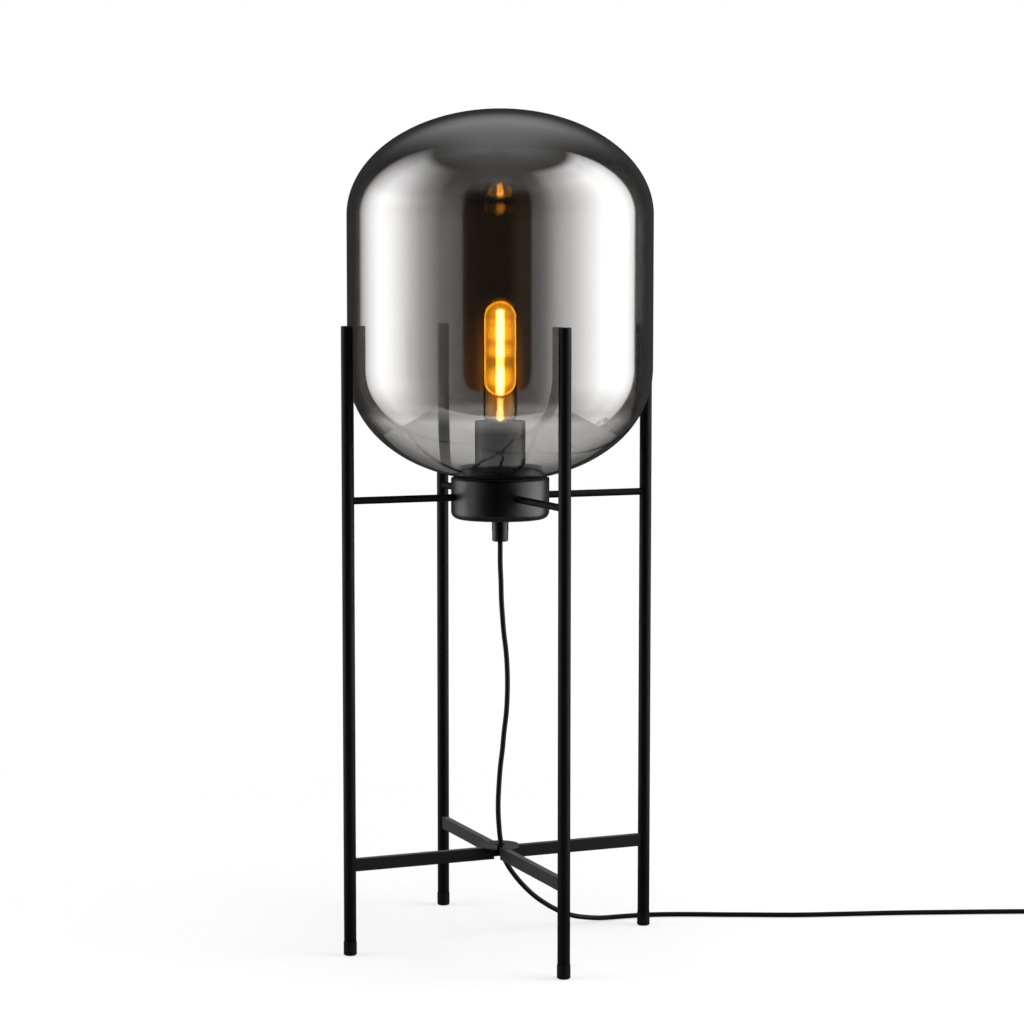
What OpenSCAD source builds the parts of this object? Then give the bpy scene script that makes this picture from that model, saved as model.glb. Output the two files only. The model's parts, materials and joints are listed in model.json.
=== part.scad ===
// Globe floor lamp: a barrel-shaped shade of smoked glass stands in a shallow steel collar, which
// four thin arms hold between four tube legs. A flat-bar cross ties the legs near the floor.
// Millimetres, +Z up. The origin is on the floor, on the lamp's axis; the legs stand on X and Y.

/* [Shade] */
// Largest outside radius of the glass
shade_r = 136.6; // [125:0.1:160]
// Wall of the glass
glass_t = 3; // [2:0.1:4]
// Height of the straight wall
shade_wall_h = 134; // [90:1:180]
// Height of the domed top above the straight wall
shade_dome_h = 93.9; // [80:0.1:120]
// Depth of the lower curve, were it closed at its bottom
shade_base_h = 102.5; // [85:0.1:120]
// Squareness of the lower curve, where 2 is an ellipse
shade_base_power = 2.1; // [2:0.05:2.4]
// Clear gap between the shade and each leg
shade_leg_gap = 2.15; // [1.5:0.05:8]
// How far the shade lifts, so that its mouth clears the bulb
shade_lift = 205; // [195:1:260]

/* [Legs] */
// Height of the leg tops above the floor
leg_h = 558.8; // [500:0.1:640]
// Outside diameter of a leg tube
leg_d = 11; // [10:0.1:14]
// Wall of a leg tube
leg_wall = 1.2; // [0.8:0.1:2]
// Height of the moulded foot below a tube
foot_h = 12; // [8:0.5:20]
// How far a foot stands out past its tube
foot_lip = 0.4; // [0.2:0.1:1]
// Radius of a foot's rounded lower edge
foot_edge_r = 1.5; // [0.5:0.1:2.5]
// Thickness of the cap on a leg's top
cap_t = 1.5; // [1:0.1:3]
// Depth that feet and caps push into a tube
plug_in_h = 12; // [6:1:20]
// Radial clearance of feet and caps in a tube
plug_in_gap = 0.1; // [0.05:0.05:0.3]

/* [Arms] */
// Height of the arms' axes above the floor
arm_h = 405.6; // [380:0.1:430]
// Diameter of an arm rod
arm_d = 6.4; // [5.5:0.1:8]
// Diameter of the threaded spigot inside the collar
spigot_d = 5; // [4:0.1:5.2]
// Clearance of a spigot in its hole, on the diameter
spigot_gap = 0.2; // [0.1:0.05:0.6]
// Outside diameter of a washer
washer_d = 10; // [9:0.5:12]
// Thickness of a washer
washer_t = 1; // [0.6:0.1:1.6]
// Width of a nut across its corners
nut_d = 9.2; // [8.5:0.1:11]
// Thickness of a nut
nut_t = 4; // [3:0.1:5]
// Length of thread that shows past a nut
spigot_end = 1.5; // [0.5:0.1:3]

/* [Cross] */
// Height of the cross bars' middle above the floor
brace_h = 81; // [60:0.5:110]
// Height of a bar's section
brace_section_h = 11; // [8:0.5:16]
// Width of a bar's section
brace_w = 6; // [4:0.5:8]
// Distance from the lamp's axis to each bar's inner end
brace_gap_r = 7; // [7:0.5:9]
// Diameter of the cord disc on top of the bars
disc_d = 34.4; // [30:0.1:48]
// Thickness of the cord disc
disc_t = 1.5; // [1:0.1:3]
// Diameter of the hole in the cord disc
disc_hole_d = 9; // [8:0.5:12]
// Width of the slot that the cord is laid in through
disc_slot_w = 5.4; // [5:0.1:7]
// Angle of the slot from the front bar
disc_slot_turn = 22; // [15:1:75]

/* [Collar] */
// Outside radius of the collar
collar_r = 44.2; // [42:0.1:52]
// Height of the pressed cup
collar_h = 35.5; // [32:0.5:44]
// Wall of the pressed cup
collar_wall = 1.5; // [1:0.1:2]
// Radius of the cup's rounded lower edge
collar_edge_r = 7; // [4:0.5:10]
// Height of the cup's rim above the arms' axes
rim_above_arm = 15.2; // [12:0.1:18]
// Thickness of the seat plate
plate_t = 1.2; // [0.8:0.1:2]
// Outside radius of the plate's upright lip
lip_r = 37.7; // [34:0.1:39]
// Height of the lip above the plate
lip_h = 8.8; // [5:0.1:12]
// Wall of the lip
lip_wall = 1.2; // [0.8:0.1:2]
// Radial gap between the lip and the shade's mouth
mouth_gap = 0.8; // [0.4:0.1:2]
// Thickness of the rubber gasket under the glass
gasket_t = 0.8; // [0.5:0.1:1.5]
// Width of the gasket
gasket_w = 4; // [2:0.5:4]
// Gap between the gasket and the glass
glass_gap = 0.3; // [0.2:0.05:0.5]

/* [Lamp holder] */
// Outside diameter of the threaded nipple
nipple_d = 10; // [9.5:0.1:12]
// Bore of the nipple
nipple_bore_d = 6.8; // [6.4:0.1:7]
// Width of the nipple's nut across its corners
nipple_nut_d = 16; // [15:0.5:20]
// Thickness of the nipple's nut
nipple_nut_t = 3; // [2:0.1:4]
// Outside diameter of the socket cover
cover_d = 45.4; // [43:0.1:52]
// Height of the socket cover
cover_h = 50.7; // [48:0.1:60]
// Wall of the socket cover
cover_t = 1.2; // [0.8:0.1:2]
// Outside diameter of the moulded holder
holder_d = 38; // [35:0.1:39]
// Height of the holder's base
holder_base_h = 16.5; // [15:0.5:22]
// Height of the holder's body above its base
holder_body_h = 29; // [27:0.1:32]
// Wall and floor of the holder's base
holder_wall = 3; // [2:0.1:3.5]
// Thickness of the deck under the screw shell
deck_t = 4.8; // [4:0.1:6]
// Bore of the brass screw shell
shell_bore_d = 26.6; // [26.5:0.1:27]
// Thickness of the brass screw shell
shell_t = 0.5; // [0.3:0.1:0.8]
// Height of the brass screw shell
shell_h = 22; // [18:0.5:23]
// Diameter of the holder's centre contact
contact_d = 8; // [6:0.5:10]
// Thickness of the centre contact's head
contact_t = 1; // [0.6:0.1:1.2]
// Side of a terminal block
terminal_w = 6; // [5:0.5:7]
// Height of a terminal block
terminal_h = 7; // [6:0.5:8]
// Distance from the holder's axis to a terminal's middle
terminal_r = 10; // [9:0.5:11]
// Diameter of an insulated core
core_d = 1.8; // [1.4:0.1:2]

/* [Bulb] */
// Diameter of the tubular bulb
bulb_d = 30; // [28:0.5:34]
// Overall length of the bulb
bulb_l = 134.8; // [125:0.1:145]
// Wall of the bulb's glass
bulb_t = 0.8; // [0.6:0.1:1.2]
// Diameter of the bulb's screw cap
bulb_cap_d = 26; // [25.5:0.1:26.2]
// Length of the bulb's screw cap with its insulator and contact
bulb_cap_l = 25.5; // [24:0.5:27]
// Height of the shoulder between the cap and the tube
bulb_shoulder_h = 7; // [6:0.5:12]
// Diameter of a filament
filament_d = 1.8; // [1.2:0.1:2.2]
// Length of a filament
filament_l = 75; // [60:1:76]
// Distance from the bulb's axis to each filament
filament_r = 3.2; // [2.6:0.1:5]
// How far the bulb lifts out of the holder
bulb_lift = 40; // [30:1:42]

/* [Cord] */
// Diameter of the mains cord
cord_d = 4.6; // [4:0.1:5]
// Radial clearance of the cord in grips and boots
cord_gap = 0.1; // [0.05:0.05:0.2]
// Outside diameter of the cord grip
grip_d = 15; // [14.5:0.1:18]
// Height of the cord grip's body
grip_body_h = 11.5; // [10:0.1:14]
// Height of the cord grip's clamping nut
grip_nut_h = 9.1; // [8.5:0.1:12]
// Depth of the groove between the body and the nut
grip_groove = 0.5; // [0.2:0.1:1]
// Turns of the stored coil
coil_turns = 5.25; // [4.25:1:6.25]
// Radius at the middle of the coil's turns
coil_mid_r = 27.6; // [25:0.2:28]
// Clear gap between neighbouring turns
coil_gap = 0.5; // [0.5:0.05:0.8]

/* [Switch] */
// Length of the in-line switch
switch_l = 60; // [56:1:70]
// Width of the in-line switch
switch_w = 27; // [26:0.5:32]
// Height of the in-line switch
switch_h = 14; // [13:0.5:18]
// Wall of the switch's shells
switch_wall = 1.5; // [1.2:0.1:2]
// Corner radius of the switch
switch_corner_r = 9; // [6:0.5:10]
// Length of the rocker's opening
rocker_l = 24; // [20:0.5:26]
// Width of the rocker
rocker_w = 12; // [10:0.5:13]
// Clearance all round the rocker
rocker_gap = 0.5; // [0.3:0.1:0.8]
// Tilt of the rocker to each side, in degrees
rocker_tilt = 8; // [5:1:10]
// Length of a tapered boot outside the switch
boot_l = 20; // [20:1:30]
// Diameter of a boot at the housing
boot_d = 10.4; // [9:0.1:11]
// Diameter of a boot at its tip
boot_tip_d = 6.2; // [5.6:0.1:7]

/* [Plug] */
// Width of the two-pin plug
plug_w = 35; // [32:0.5:38]
// Width of the plug where the boot joins it
plug_rear_w = 16; // [13:0.5:20]
// Thickness of the plug
plug_h = 14; // [13:0.5:16]
// Length of the plug's body
plug_l = 36; // [32:0.5:42]
// Length of the plug's tapered boot
plug_boot_l = 25; // [20:1:40]
// Diameter of a pin
pin_d = 4; // [3.8:0.1:4.8]
// Length of a pin outside the plug
pin_l = 19; // [17:0.5:20]
// Spacing of the two pins
pin_pitch = 18.6; // [17:0.1:20]

/* [Hidden] */

$fn = 96;
// How far every cut runs past the solid that it cuts
over = 1;
// Steps in each quarter of a curved outline, and in a small rounded edge
curve_steps = 24;
edge_steps = 6;

// Heights of the stack on the lamp's axis, from the arms upwards
rim_z = arm_h + rim_above_arm;
cup_z = rim_z - collar_h;
cup_floor_z = cup_z + collar_wall;
plate_z = rim_z + plate_t;
lip_z = plate_z + lip_h;
glass_z = plate_z + gasket_t + glass_gap;
holder_z = plate_z + cover_t;
holder_floor_z = holder_z + holder_wall;
body_z = holder_z + holder_base_h;
deck_z = body_z + deck_t;
holder_top_z = body_z + holder_body_h;
contact_z = deck_z + contact_t;
cover_z = plate_z + cover_h;

// Legs stand just outside the shade
leg_circle_r = shade_r + shade_leg_gap + leg_d / 2;
leg_bore_d = leg_d - 2 * leg_wall;
leg_tube_h = leg_h - foot_h - cap_t;

// Inner faces and seats inside the collar
cup_inner_r = collar_r - collar_wall;
washer_seat_r = sqrt(pow(cup_inner_r, 2) - pow(washer_d / 2, 2));
nut_seat_r = washer_seat_r - washer_t;
spigot_end_r = nut_seat_r - nut_t - spigot_end;

// Mouth of the shade and the levels of its outline
mouth_r = lip_r + mouth_gap;
shade_low_z = glass_z + shade_base_h
    * pow(1 - pow(mouth_r / shade_r, shade_base_power), 1 / shade_base_power);
shade_high_z = shade_low_z + shade_wall_h;

// Holder
shell_r = shell_bore_d / 2 + shell_t;
shell_seat_gap = 0.1;
thread_gap = 0.05;
contact_stem_d = 3;
contact_stem_l = 3;
core_spacing = 2.2;
core_rise = 1.5;
lead_rise = 1.2;

// Cord grip
grip_edge_r = 1.6;
grip_waist_h = 0.8;
grip_thread_h = 8;
grip_body_z = cup_z - grip_body_h;
grip_nut_z = grip_body_z - grip_nut_h;

// Bulb
bulb_gap = 0.3;
bulb_z = contact_z + bulb_gap;
bulb_top_z = bulb_z + bulb_l;
bulb_rim_z = bulb_z + bulb_cap_l;
bulb_cap_t = 0.4;
bulb_neck_gap = 0.1;
bulb_neck_r = bulb_cap_d / 2 - bulb_cap_t - bulb_neck_gap;
bulb_neck_in = 4;
bulb_contact_d = 9;
bulb_contact_t = 0.9;
bulb_insulator_h = 2.6;
bulb_insulator_d = 19;
bulb_chin_h = 2;
stem_d = 6.8;
stem_flare_h = 14;
stem_l = 26;
stem_t = 1.1;
middle_rod_d = 1.2;
spider_w = 0.7;
filament_base_gap = 4.3;
anchor_h = 5.4;
filament_z = bulb_rim_z - bulb_neck_in + stem_l + filament_base_gap;

// Switch
switch_screw_d = 2.5;
switch_screw_head_d = 4.8;
switch_screw_head_h = 1.6;
switch_boss_d = 6;
switch_screw_gap = 0.1;
switch_screw_tip = 3;
switch_screw_x_share = 0.35;
switch_screw_y_share = 0.29;
rocker_pivot_drop = 3.5;
rocker_below = 2;
pivot_d = 2;
pivot_gap = 0.05;
pivot_l = 1.6;
ear_w = 5;
ear_t = 2.4;
ear_h = 4.4;
boot_neck_d = 7;
boot_neck_gap = 0.1;
boot_flange_d = 9.2;
boot_flange_t = 1.5;
cord_inside_l = 6;
switch_terminal_l = 5;
switch_terminal_w = 4;
switch_terminal_h = 4.5;
switch_terminal_x_share = 0.27;
switch_terminal_y_share = 0.13;

// Plug
plug_rear_h = 11;
plug_taper_share = 0.6;
plug_corner_r = 3;
pin_pocket = 6;
pin_pocket_gap = 0.05;
pin_neck_d = 3.4;
pin_neck_out = 0.6;
tail_l = 18;

// Hanging and sagging stretch of the cord, from the grip to where it meets the floor
cord_air = [
    [0, 0, 353], [0, 0, 341], [1, 0, 326], [1, 0, 311], [2, -1, 296], [3, -1, 281], [5, -2, 266],
    [6, -2, 251], [6, -3, 236], [6, -2, 220], [5, -2, 205], [3, -1, 190], [2, -1, 175],
    [0, 0, 160], [-1, 0, 145], [-2, 0, 130], [-2, 0, 116], [-1, 0, 103], [0, 0, 93], [2, 0, 83],
    [4, 1, 75], [9, 2, 66], [16, 4, 57], [23, 6, 49], [31, 8, 41], [40, 10, 33], [50, 13, 26],
    [61, 16, 19], [73, 19, 13], [86, 22, 8], [100, 26, 5],
];
// Stretch that lies on the floor, seen from above
cord_floor = [
    [115, 28], [132, 28], [149, 26], [168, 22], [187, 15], [206, 7], [227, -3], [249, -12],
    [271, -22], [293, -31], [315, -38], [338, -45], [361, -52], [384, -59], [407, -67],
    [429, -75], [452, -83], [474, -91], [495, -99], [511, -105],
];
// Last points before the switch, which climb to its middle
cord_climb = [[524, -109, 4], [534, -110, 6]];
// Where the cord enters the boot of the switch
switch_entry = [546, -110];
// Length of the stretch between the switch's second boot and the coil
link_l = 38;
floor_gap = 0.05;
cord_z = cord_d / 2 + floor_gap;
cord_sides = 10;
coil_sides = 6;
coil_steps = 24;

// Places that follow the cord, the switch and the coil in turn
switch_at = [switch_entry.x + boot_l + switch_l / 2, switch_entry.y, 0];
switch_half_z = switch_h / 2;
link_x = switch_at.x + switch_l / 2 + boot_l;
cord_pitch = cord_d + coil_gap;
coil_mid_turns = coil_turns / 2;
coil_out_r = coil_mid_r + cord_pitch * coil_mid_turns / 2;
coil_at = [link_x + link_l, switch_at.y + coil_out_r, cord_z];
coil_end = coil_at + [coil_out_r, cord_d, cord_pitch];
plug_at = [coil_end.x, coil_end.y + tail_l, 0];
plug_half_z = plug_h / 2;

// Unit vector, and a vector made square to a unit vector
function unit(v) = v / norm(v);
function square_to(t, n) = unit(n - t * (n * t));
// Direction of travel at each point of a path
function headings(p) =
    [for (i = [0:len(p) - 1]) unit(p[min(i + 1, len(p) - 1)] - p[max(i - 1, 0)])];
// Side vectors carried along a path without twist
function sides_of(t, n, i = 0, done = []) =
    i == len(t) ? done : let (m = square_to(t[i], n)) sides_of(t, m, i + 1, concat(done, [m]));
// Smooth curve through a list of points, with a share of the way t between points i and i + 1
function pick(p, i) = p[max(0, min(len(p) - 1, i))];
function between(p, i, t) = let (a = pick(p, i - 1), b = pick(p, i), c = pick(p, i + 1), d = pick(p, i + 2))
    (2 * b + (c - a) * t + (2 * a - 5 * b + 4 * c - d) * t * t + (3 * b - a - 3 * c + d) * t * t * t) / 2;
function smooth_path(p, steps) =
    concat([for (i = [0:len(p) - 2], k = [0:steps - 1]) between(p, i, k / steps)], [p[len(p) - 1]]);
function path_length(p) = [for (i = 1, s = 0; i <= len(p); s = s + norm(pick(p, i) - p[i - 1]), i = i + 1) s]
    [len(p) - 1];
// Least distance between points of a path that are more than a share of a turn apart
function least_gap(p, apart) = min([
    for (i = [0:len(p) - 1], j = [i + apart:1:len(p) - 1]) norm(p[i] - p[j])]) - cord_d;

// Points of a round edge about a centre
function arc(x, z, r, from, to, steps) =
    [for (k = [0:steps]) let (a = from + (to - from) * k / steps) [x + r * cos(a), z + r * sin(a)]];
// Quarter of a superellipse, from its widest point to where the radius is end_r
function curve(a, b, power, end_r, z, way) =
    let (last = acos(pow(end_r / a, power / 2)))
    [for (k = [0:curve_steps]) let (t = last * k / curve_steps)
        [a * pow(cos(t), 2 / power), z + way * b * pow(sin(t), 2 / power)]];
function reversed(p) = [for (i = [len(p) - 1:-1:0]) p[i]];

// Path of the coil: it spirals in on the floor, climbs a layer and spirals out again
function ease(t) = t * t * (3 - 2 * t);
function coil_point(u) =
    let (r = coil_out_r - cord_pitch * (coil_mid_turns - abs(u - coil_mid_turns)),
         climb = max(0, min(1, 2 * (u - coil_mid_turns) + 0.5)),
         a = 360 * u - 90)
    coil_at + [r * cos(a), r * sin(a), cord_pitch * ease(climb)];
coil_turn_path = [for (k = [0:coil_turns * coil_steps]) coil_point(k / coil_steps)];
coil_path = concat([coil_at + [-cord_d, -coil_out_r, 0]], coil_turn_path, [coil_end]);

cord_path = concat(
    [[0, 0, grip_nut_z]], cord_air,
    [for (p = cord_floor) [p.x, p.y, cord_z]], cord_climb,
    [[switch_entry.x, switch_entry.y, switch_half_z],
     [switch_entry.x + boot_l + switch_wall + cord_inside_l, switch_entry.y, switch_half_z]]);
link_path = [
    [link_x - boot_l - switch_wall - cord_inside_l, switch_at.y, switch_half_z],
    [link_x, switch_at.y, switch_half_z],
    for (k = [1:4]) let (t = k / 4)
        [link_x + (link_l - cord_d) * t, switch_at.y, switch_half_z + (cord_z - switch_half_z) * ease(t)]];
tail_path = [
    for (k = [0:3]) let (t = k / 3)
        [coil_end.x, coil_end.y + tail_l * t, coil_end.z + (plug_half_z - coil_end.z) * ease(t)],
    [plug_at.x, plug_at.y + plug_boot_l, plug_half_z]];
cord_total = path_length(cord_path) + path_length(link_path) + path_length(coil_path) + path_length(tail_path);
echo(overall_height = shade_high_z + shade_dome_h, cord_length = cord_total);
echo(coil_least_gap = least_gap(coil_path, floor(coil_steps / 2)));

// One closed tube along a path, from rings of points and triangles between them
module tube(path, d, sides) {
    t = headings(path);
    n = sides_of(t, abs(t[0].z) > 0.7 ? [1, 0, 0] : [0, 0, 1]);
    rings = len(path);
    points = [for (i = [0:rings - 1], k = [0:sides - 1]) let (a = 360 * k / sides)
        path[i] + d / 2 * (cos(a) * n[i] + sin(a) * cross(t[i], n[i]))];
    wall = [for (i = [0:rings - 2], k = [0:sides - 1])
        let (a = i * sides + k, b = i * sides + (k + 1) % sides)
        each [[a, a + sides, b], [b, a + sides, b + sides]]];
    caps = [for (k = [1:sides - 2]) each [
        [0, k, k + 1],
        [(rings - 1) * sides, (rings - 1) * sides + k + 1, (rings - 1) * sides + k]]];
    polyhedron(points = points, faces = concat(wall, caps));
}

// Ring or disc about the lamp's axis
module ring(r, bore, h, z) {
    translate([0, 0, z]) difference() {
        cylinder(r = r, h = h);
        translate([0, 0, -over]) cylinder(r = bore, h = h + 2 * over);
    }
}

// Turns a part made for the right-hand leg to leg number k, counted anticlockwise
module at_leg(k) {
    rotate([0, 0, 90 * k]) children();
}

module on_leg() {
    translate([leg_circle_r, 0, 0]) children();
}

// Outside of a leg, which copes the end of what is welded to it
module leg_cut(z, h) {
    on_leg() translate([0, 0, z - h / 2 - over]) cylinder(d = leg_d, h = h + 2 * over);
}

module leg(k) {
    color("#161616") at_leg(k) on_leg() translate([0, 0, foot_h]) difference() {
        cylinder(d = leg_d, h = leg_tube_h);
        translate([0, 0, -over]) cylinder(d = leg_bore_d, h = leg_tube_h + 2 * over);
    }
}

module foot(k) {
    r = leg_d / 2 + foot_lip;
    color("#0e0e0e") at_leg(k) on_leg() rotate_extrude() polygon(concat(
        [[0, 0]],
        arc(r - foot_edge_r, foot_edge_r, foot_edge_r, -90, 0, edge_steps),
        [[r, foot_h], [leg_bore_d / 2 - plug_in_gap, foot_h],
         [leg_bore_d / 2 - plug_in_gap, foot_h + plug_in_h], [0, foot_h + plug_in_h]]));
}

module leg_caps() {
    r = leg_d / 2;
    edge = cap_t / 2;
    for (k = [0:3]) color("#161616") at_leg(k) on_leg() translate([0, 0, leg_h - cap_t])
        rotate_extrude() polygon(concat(
            [[0, -plug_in_h], [leg_bore_d / 2 - plug_in_gap, -plug_in_h],
             [leg_bore_d / 2 - plug_in_gap, 0], [r, 0]],
            arc(r - edge, cap_t - edge, edge, 0, 90, edge_steps),
            [[0, cap_t]]));
}

// Lies along X at the arms' height, from one radius to another
module along_arm(from, to, d, sides = $fn) {
    translate([from, 0, arm_h]) rotate([0, 90, 0]) cylinder(d = d, h = to - from, $fn = sides);
}

module arm(k) {
    color("#141414") at_leg(k) union() {
        difference() {
            along_arm(collar_r, leg_circle_r, arm_d);
            leg_cut(arm_h, arm_d);
        }
        along_arm(spigot_end_r, collar_r + arm_d, spigot_d);
    }
}

// Ring that sits on a spigot
module on_spigot(from, to, d, sides = $fn) {
    difference() {
        along_arm(from, to, d, sides);
        along_arm(from - over, to + over, spigot_d + 2 * thread_gap);
    }
}

module arm_washers() {
    for (k = [0:3]) color("silver") at_leg(k) on_spigot(nut_seat_r, washer_seat_r, washer_d);
}

module arm_nuts() {
    for (k = [0:3]) color("silver") at_leg(k) on_spigot(nut_seat_r - nut_t, nut_seat_r, nut_d, 6);
}

module brace(k) {
    color("#1b1b1b") at_leg(k) difference() {
        translate([brace_gap_r, -brace_w / 2, brace_h - brace_section_h / 2])
            cube([leg_circle_r - brace_gap_r, brace_w, brace_section_h]);
        leg_cut(brace_h, brace_section_h);
    }
}

module cord_disc() {
    color("#2b2b2b") translate([0, 0, brace_h + brace_section_h / 2]) difference() {
        cylinder(d = disc_d, h = disc_t);
        translate([0, 0, -over]) cylinder(d = disc_hole_d, h = disc_t + 2 * over);
        rotate([0, 0, -90 - disc_slot_turn]) translate([0, -disc_slot_w / 2, -over])
            cube([disc_d, disc_slot_w, disc_t + 2 * over]);
    }
}

module collar_cup() {
    inner_edge_r = collar_edge_r - collar_wall;
    color("#191919") difference() {
        rotate_extrude() polygon(concat(
            [[nipple_d / 2 + thread_gap, cup_z]],
            arc(collar_r - collar_edge_r, cup_z + collar_edge_r, collar_edge_r, -90, 0, 2 * edge_steps),
            [[collar_r, rim_z], [cup_inner_r, rim_z]],
            arc(collar_r - collar_edge_r, cup_z + collar_edge_r, inner_edge_r, 0, -90, 2 * edge_steps),
            [[nipple_d / 2 + thread_gap, cup_floor_z]]));
        for (k = [0:3]) at_leg(k)
            along_arm(cup_inner_r - collar_wall - over, collar_r + over, spigot_d + spigot_gap);
    }
}

module seat_plate() {
    color("#0f0f0f") union() {
        ring(collar_r, nipple_d / 2 + thread_gap, plate_t, rim_z);
        ring(lip_r, lip_r - lip_wall, lip_h, plate_z);
    }
}

module glass_gasket() {
    color("#202020") ring(mouth_r + gasket_w, mouth_r, gasket_t, plate_z);
}

module nipple() {
    z = cup_z - grip_thread_h;
    color("#c9a24a") ring(nipple_d / 2, nipple_bore_d / 2, holder_floor_z - z, z);
}

module nipple_nut() {
    color("#c9a24a") translate([0, 0, cup_floor_z]) difference() {
        cylinder(d = nipple_nut_d, h = nipple_nut_t, $fn = 6);
        translate([0, 0, -over]) cylinder(r = nipple_d / 2 + thread_gap, h = nipple_nut_t + 2 * over);
    }
}

module cord_grip_body() {
    color("#0b0b0b") difference() {
        ring(grip_d / 2, cord_d / 2 + cord_gap, grip_body_h, grip_body_z);
        translate([0, 0, cup_z - grip_thread_h])
            cylinder(r = nipple_d / 2 + thread_gap, h = grip_thread_h + over);
    }
}

module cord_grip_nut() {
    r = grip_d / 2 - grip_groove / 2;
    color("#0b0b0b") rotate_extrude() polygon(concat(
        [[cord_d / 2 + cord_gap, grip_nut_z]],
        arc(r - grip_edge_r, grip_nut_z + grip_edge_r, grip_edge_r, -90, 0, edge_steps),
        [[r, grip_body_z - grip_waist_h], [r - grip_groove, grip_body_z - grip_waist_h],
         [r - grip_groove, grip_body_z], [cord_d / 2 + cord_gap, grip_body_z]]));
}

module lead_in() {
    color("#101010") translate([0, 0, grip_nut_z])
        cylinder(d = cord_d, h = holder_floor_z + lead_rise - grip_nut_z);
}

module socket_cover() {
    color("#1d1d1d") union() {
        ring(cover_d / 2, nipple_d / 2 + thread_gap, cover_t, plate_z);
        ring(cover_d / 2, cover_d / 2 - cover_t, cover_h - cover_t, holder_z);
    }
}

module holder_base() {
    color("#26221f") union() {
        ring(holder_d / 2, nipple_d / 2 + thread_gap, holder_wall, holder_z);
        ring(holder_d / 2, holder_d / 2 - holder_wall, holder_base_h - holder_wall, holder_floor_z);
    }
}

module holder_body() {
    color("#26221f") union() {
        ring(holder_d / 2, contact_stem_d / 2 + thread_gap, deck_t, body_z);
        ring(holder_d / 2, shell_r + shell_seat_gap, holder_body_h - deck_t, deck_z);
    }
}

module screw_shell() {
    color("#c9a24a") ring(shell_r, shell_bore_d / 2, shell_h, deck_z);
}

module centre_contact() {
    color("#c9a24a") union() {
        translate([0, 0, deck_z]) cylinder(d = contact_d, h = contact_t);
        translate([0, 0, body_z - contact_stem_l]) cylinder(d = contact_stem_d, h = deck_t + contact_stem_l);
    }
}

module holder_terminals() {
    for (s = [-1, 1]) color("#c9a24a")
        translate([s * terminal_r - terminal_w / 2, -terminal_w / 2, body_z - terminal_h])
            cube([terminal_w, terminal_w, terminal_h]);
}

// Insulated core from the cord's end up to its terminal
module core(s) {
    from = holder_floor_z + lead_rise;
    to = body_z - terminal_h;
    x = core_spacing / 2;
    tube([[s * x, 0, from], [s * x, 0, from + (to - from) / 4],
          [s * (x + terminal_r) / 2, 0, (from + to) / 2],
          [s * terminal_r, 0, to - (to - from) / 4], [s * terminal_r, 0, to]], core_d, 8);
}

module core_live() {
    color("#6b4423") core(1);
}

module core_neutral() {
    color("#2f5fa8") core(-1);
}

// The shade is one blown piece. It is drawn as a bowl, a straight wall and a dome that meet face to
// face, so that the collision shape of each one stays hollow
module blown(points) {
    color("#7d7873", 0.45) rotate_extrude() polygon(points);
}

module glass_base() {
    blown(concat(
        reversed(curve(shade_r, shade_base_h, shade_base_power, mouth_r, shade_low_z, -1)),
        curve(shade_r - glass_t, shade_base_h - glass_t, shade_base_power, mouth_r, shade_low_z, -1)));
}

module glass_wall() {
    inner_r = shade_r - glass_t;
    blown([[inner_r, shade_low_z], [shade_r, shade_low_z], [shade_r, shade_high_z], [inner_r, shade_high_z]]);
}

module glass_dome() {
    blown(concat(
        curve(shade_r, shade_dome_h, 2, 0, shade_high_z, 1),
        reversed(curve(shade_r - glass_t, shade_dome_h - glass_t, 2, 0, shade_high_z, 1))));
}

module bulb_glass() {
    r = bulb_d / 2;
    shoulder_z = bulb_rim_z + bulb_shoulder_h;
    dome_z = bulb_top_z - r;
    color("#f3b04a", 0.5) rotate_extrude() polygon(concat(
        [[bulb_neck_r, bulb_rim_z - bulb_neck_in], [bulb_neck_r, bulb_rim_z], [r, shoulder_z]],
        arc(0, dome_z, r, 0, 90, curve_steps),
        arc(0, dome_z, r - bulb_t, 90, 0, curve_steps),
        [[r - bulb_t, shoulder_z], [bulb_neck_r - bulb_t, bulb_rim_z],
         [bulb_neck_r - bulb_t, bulb_rim_z - bulb_neck_in]]));
}

// Levels of the cap's lower end, from the tip upwards
bulb_insulator_z = bulb_z + bulb_contact_t;
bulb_chin_z = bulb_insulator_z + bulb_insulator_h;

module bulb_cap() {
    r = bulb_cap_d / 2;
    chin_r = bulb_insulator_d / 2;
    z = bulb_chin_z + bulb_chin_h;
    color("#c9a24a") rotate_extrude() polygon([
        [chin_r - bulb_cap_t, bulb_chin_z], [chin_r, bulb_chin_z], [r, z], [r, bulb_rim_z],
        [r - bulb_cap_t, bulb_rim_z], [r - bulb_cap_t, z]]);
}

module bulb_insulator() {
    color("#141414") rotate_extrude() polygon([
        [0, bulb_insulator_z], [bulb_contact_d / 2, bulb_insulator_z],
        [bulb_insulator_d / 2, bulb_chin_z], [0, bulb_chin_z]]);
}

module bulb_contact() {
    color("#b8b4aa") translate([0, 0, bulb_z]) cylinder(d = bulb_contact_d, h = bulb_contact_t);
}

// Flared glass stem, sealed into the bulb's neck
module bulb_stem() {
    foot_r = bulb_neck_r - bulb_t;
    z = bulb_rim_z - bulb_neck_in;
    steps = curve_steps / 2;
    flare = [for (k = [0:steps]) let (t = k / steps)
        [stem_d / 2 + (foot_r - stem_d / 2) * pow(1 - t, 2), z + stem_flare_h * t]];
    color("#e8dfcf", 0.6) rotate_extrude() polygon(concat(
        [[foot_r - stem_t, z]], flare,
        [[stem_d / 2, z + stem_l], [0, z + stem_l], [0, z + stem_flare_h - stem_t]],
        reversed([for (p = flare) [max(0, p.x - 2 * stem_t), p.y - stem_t]])));
}

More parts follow.
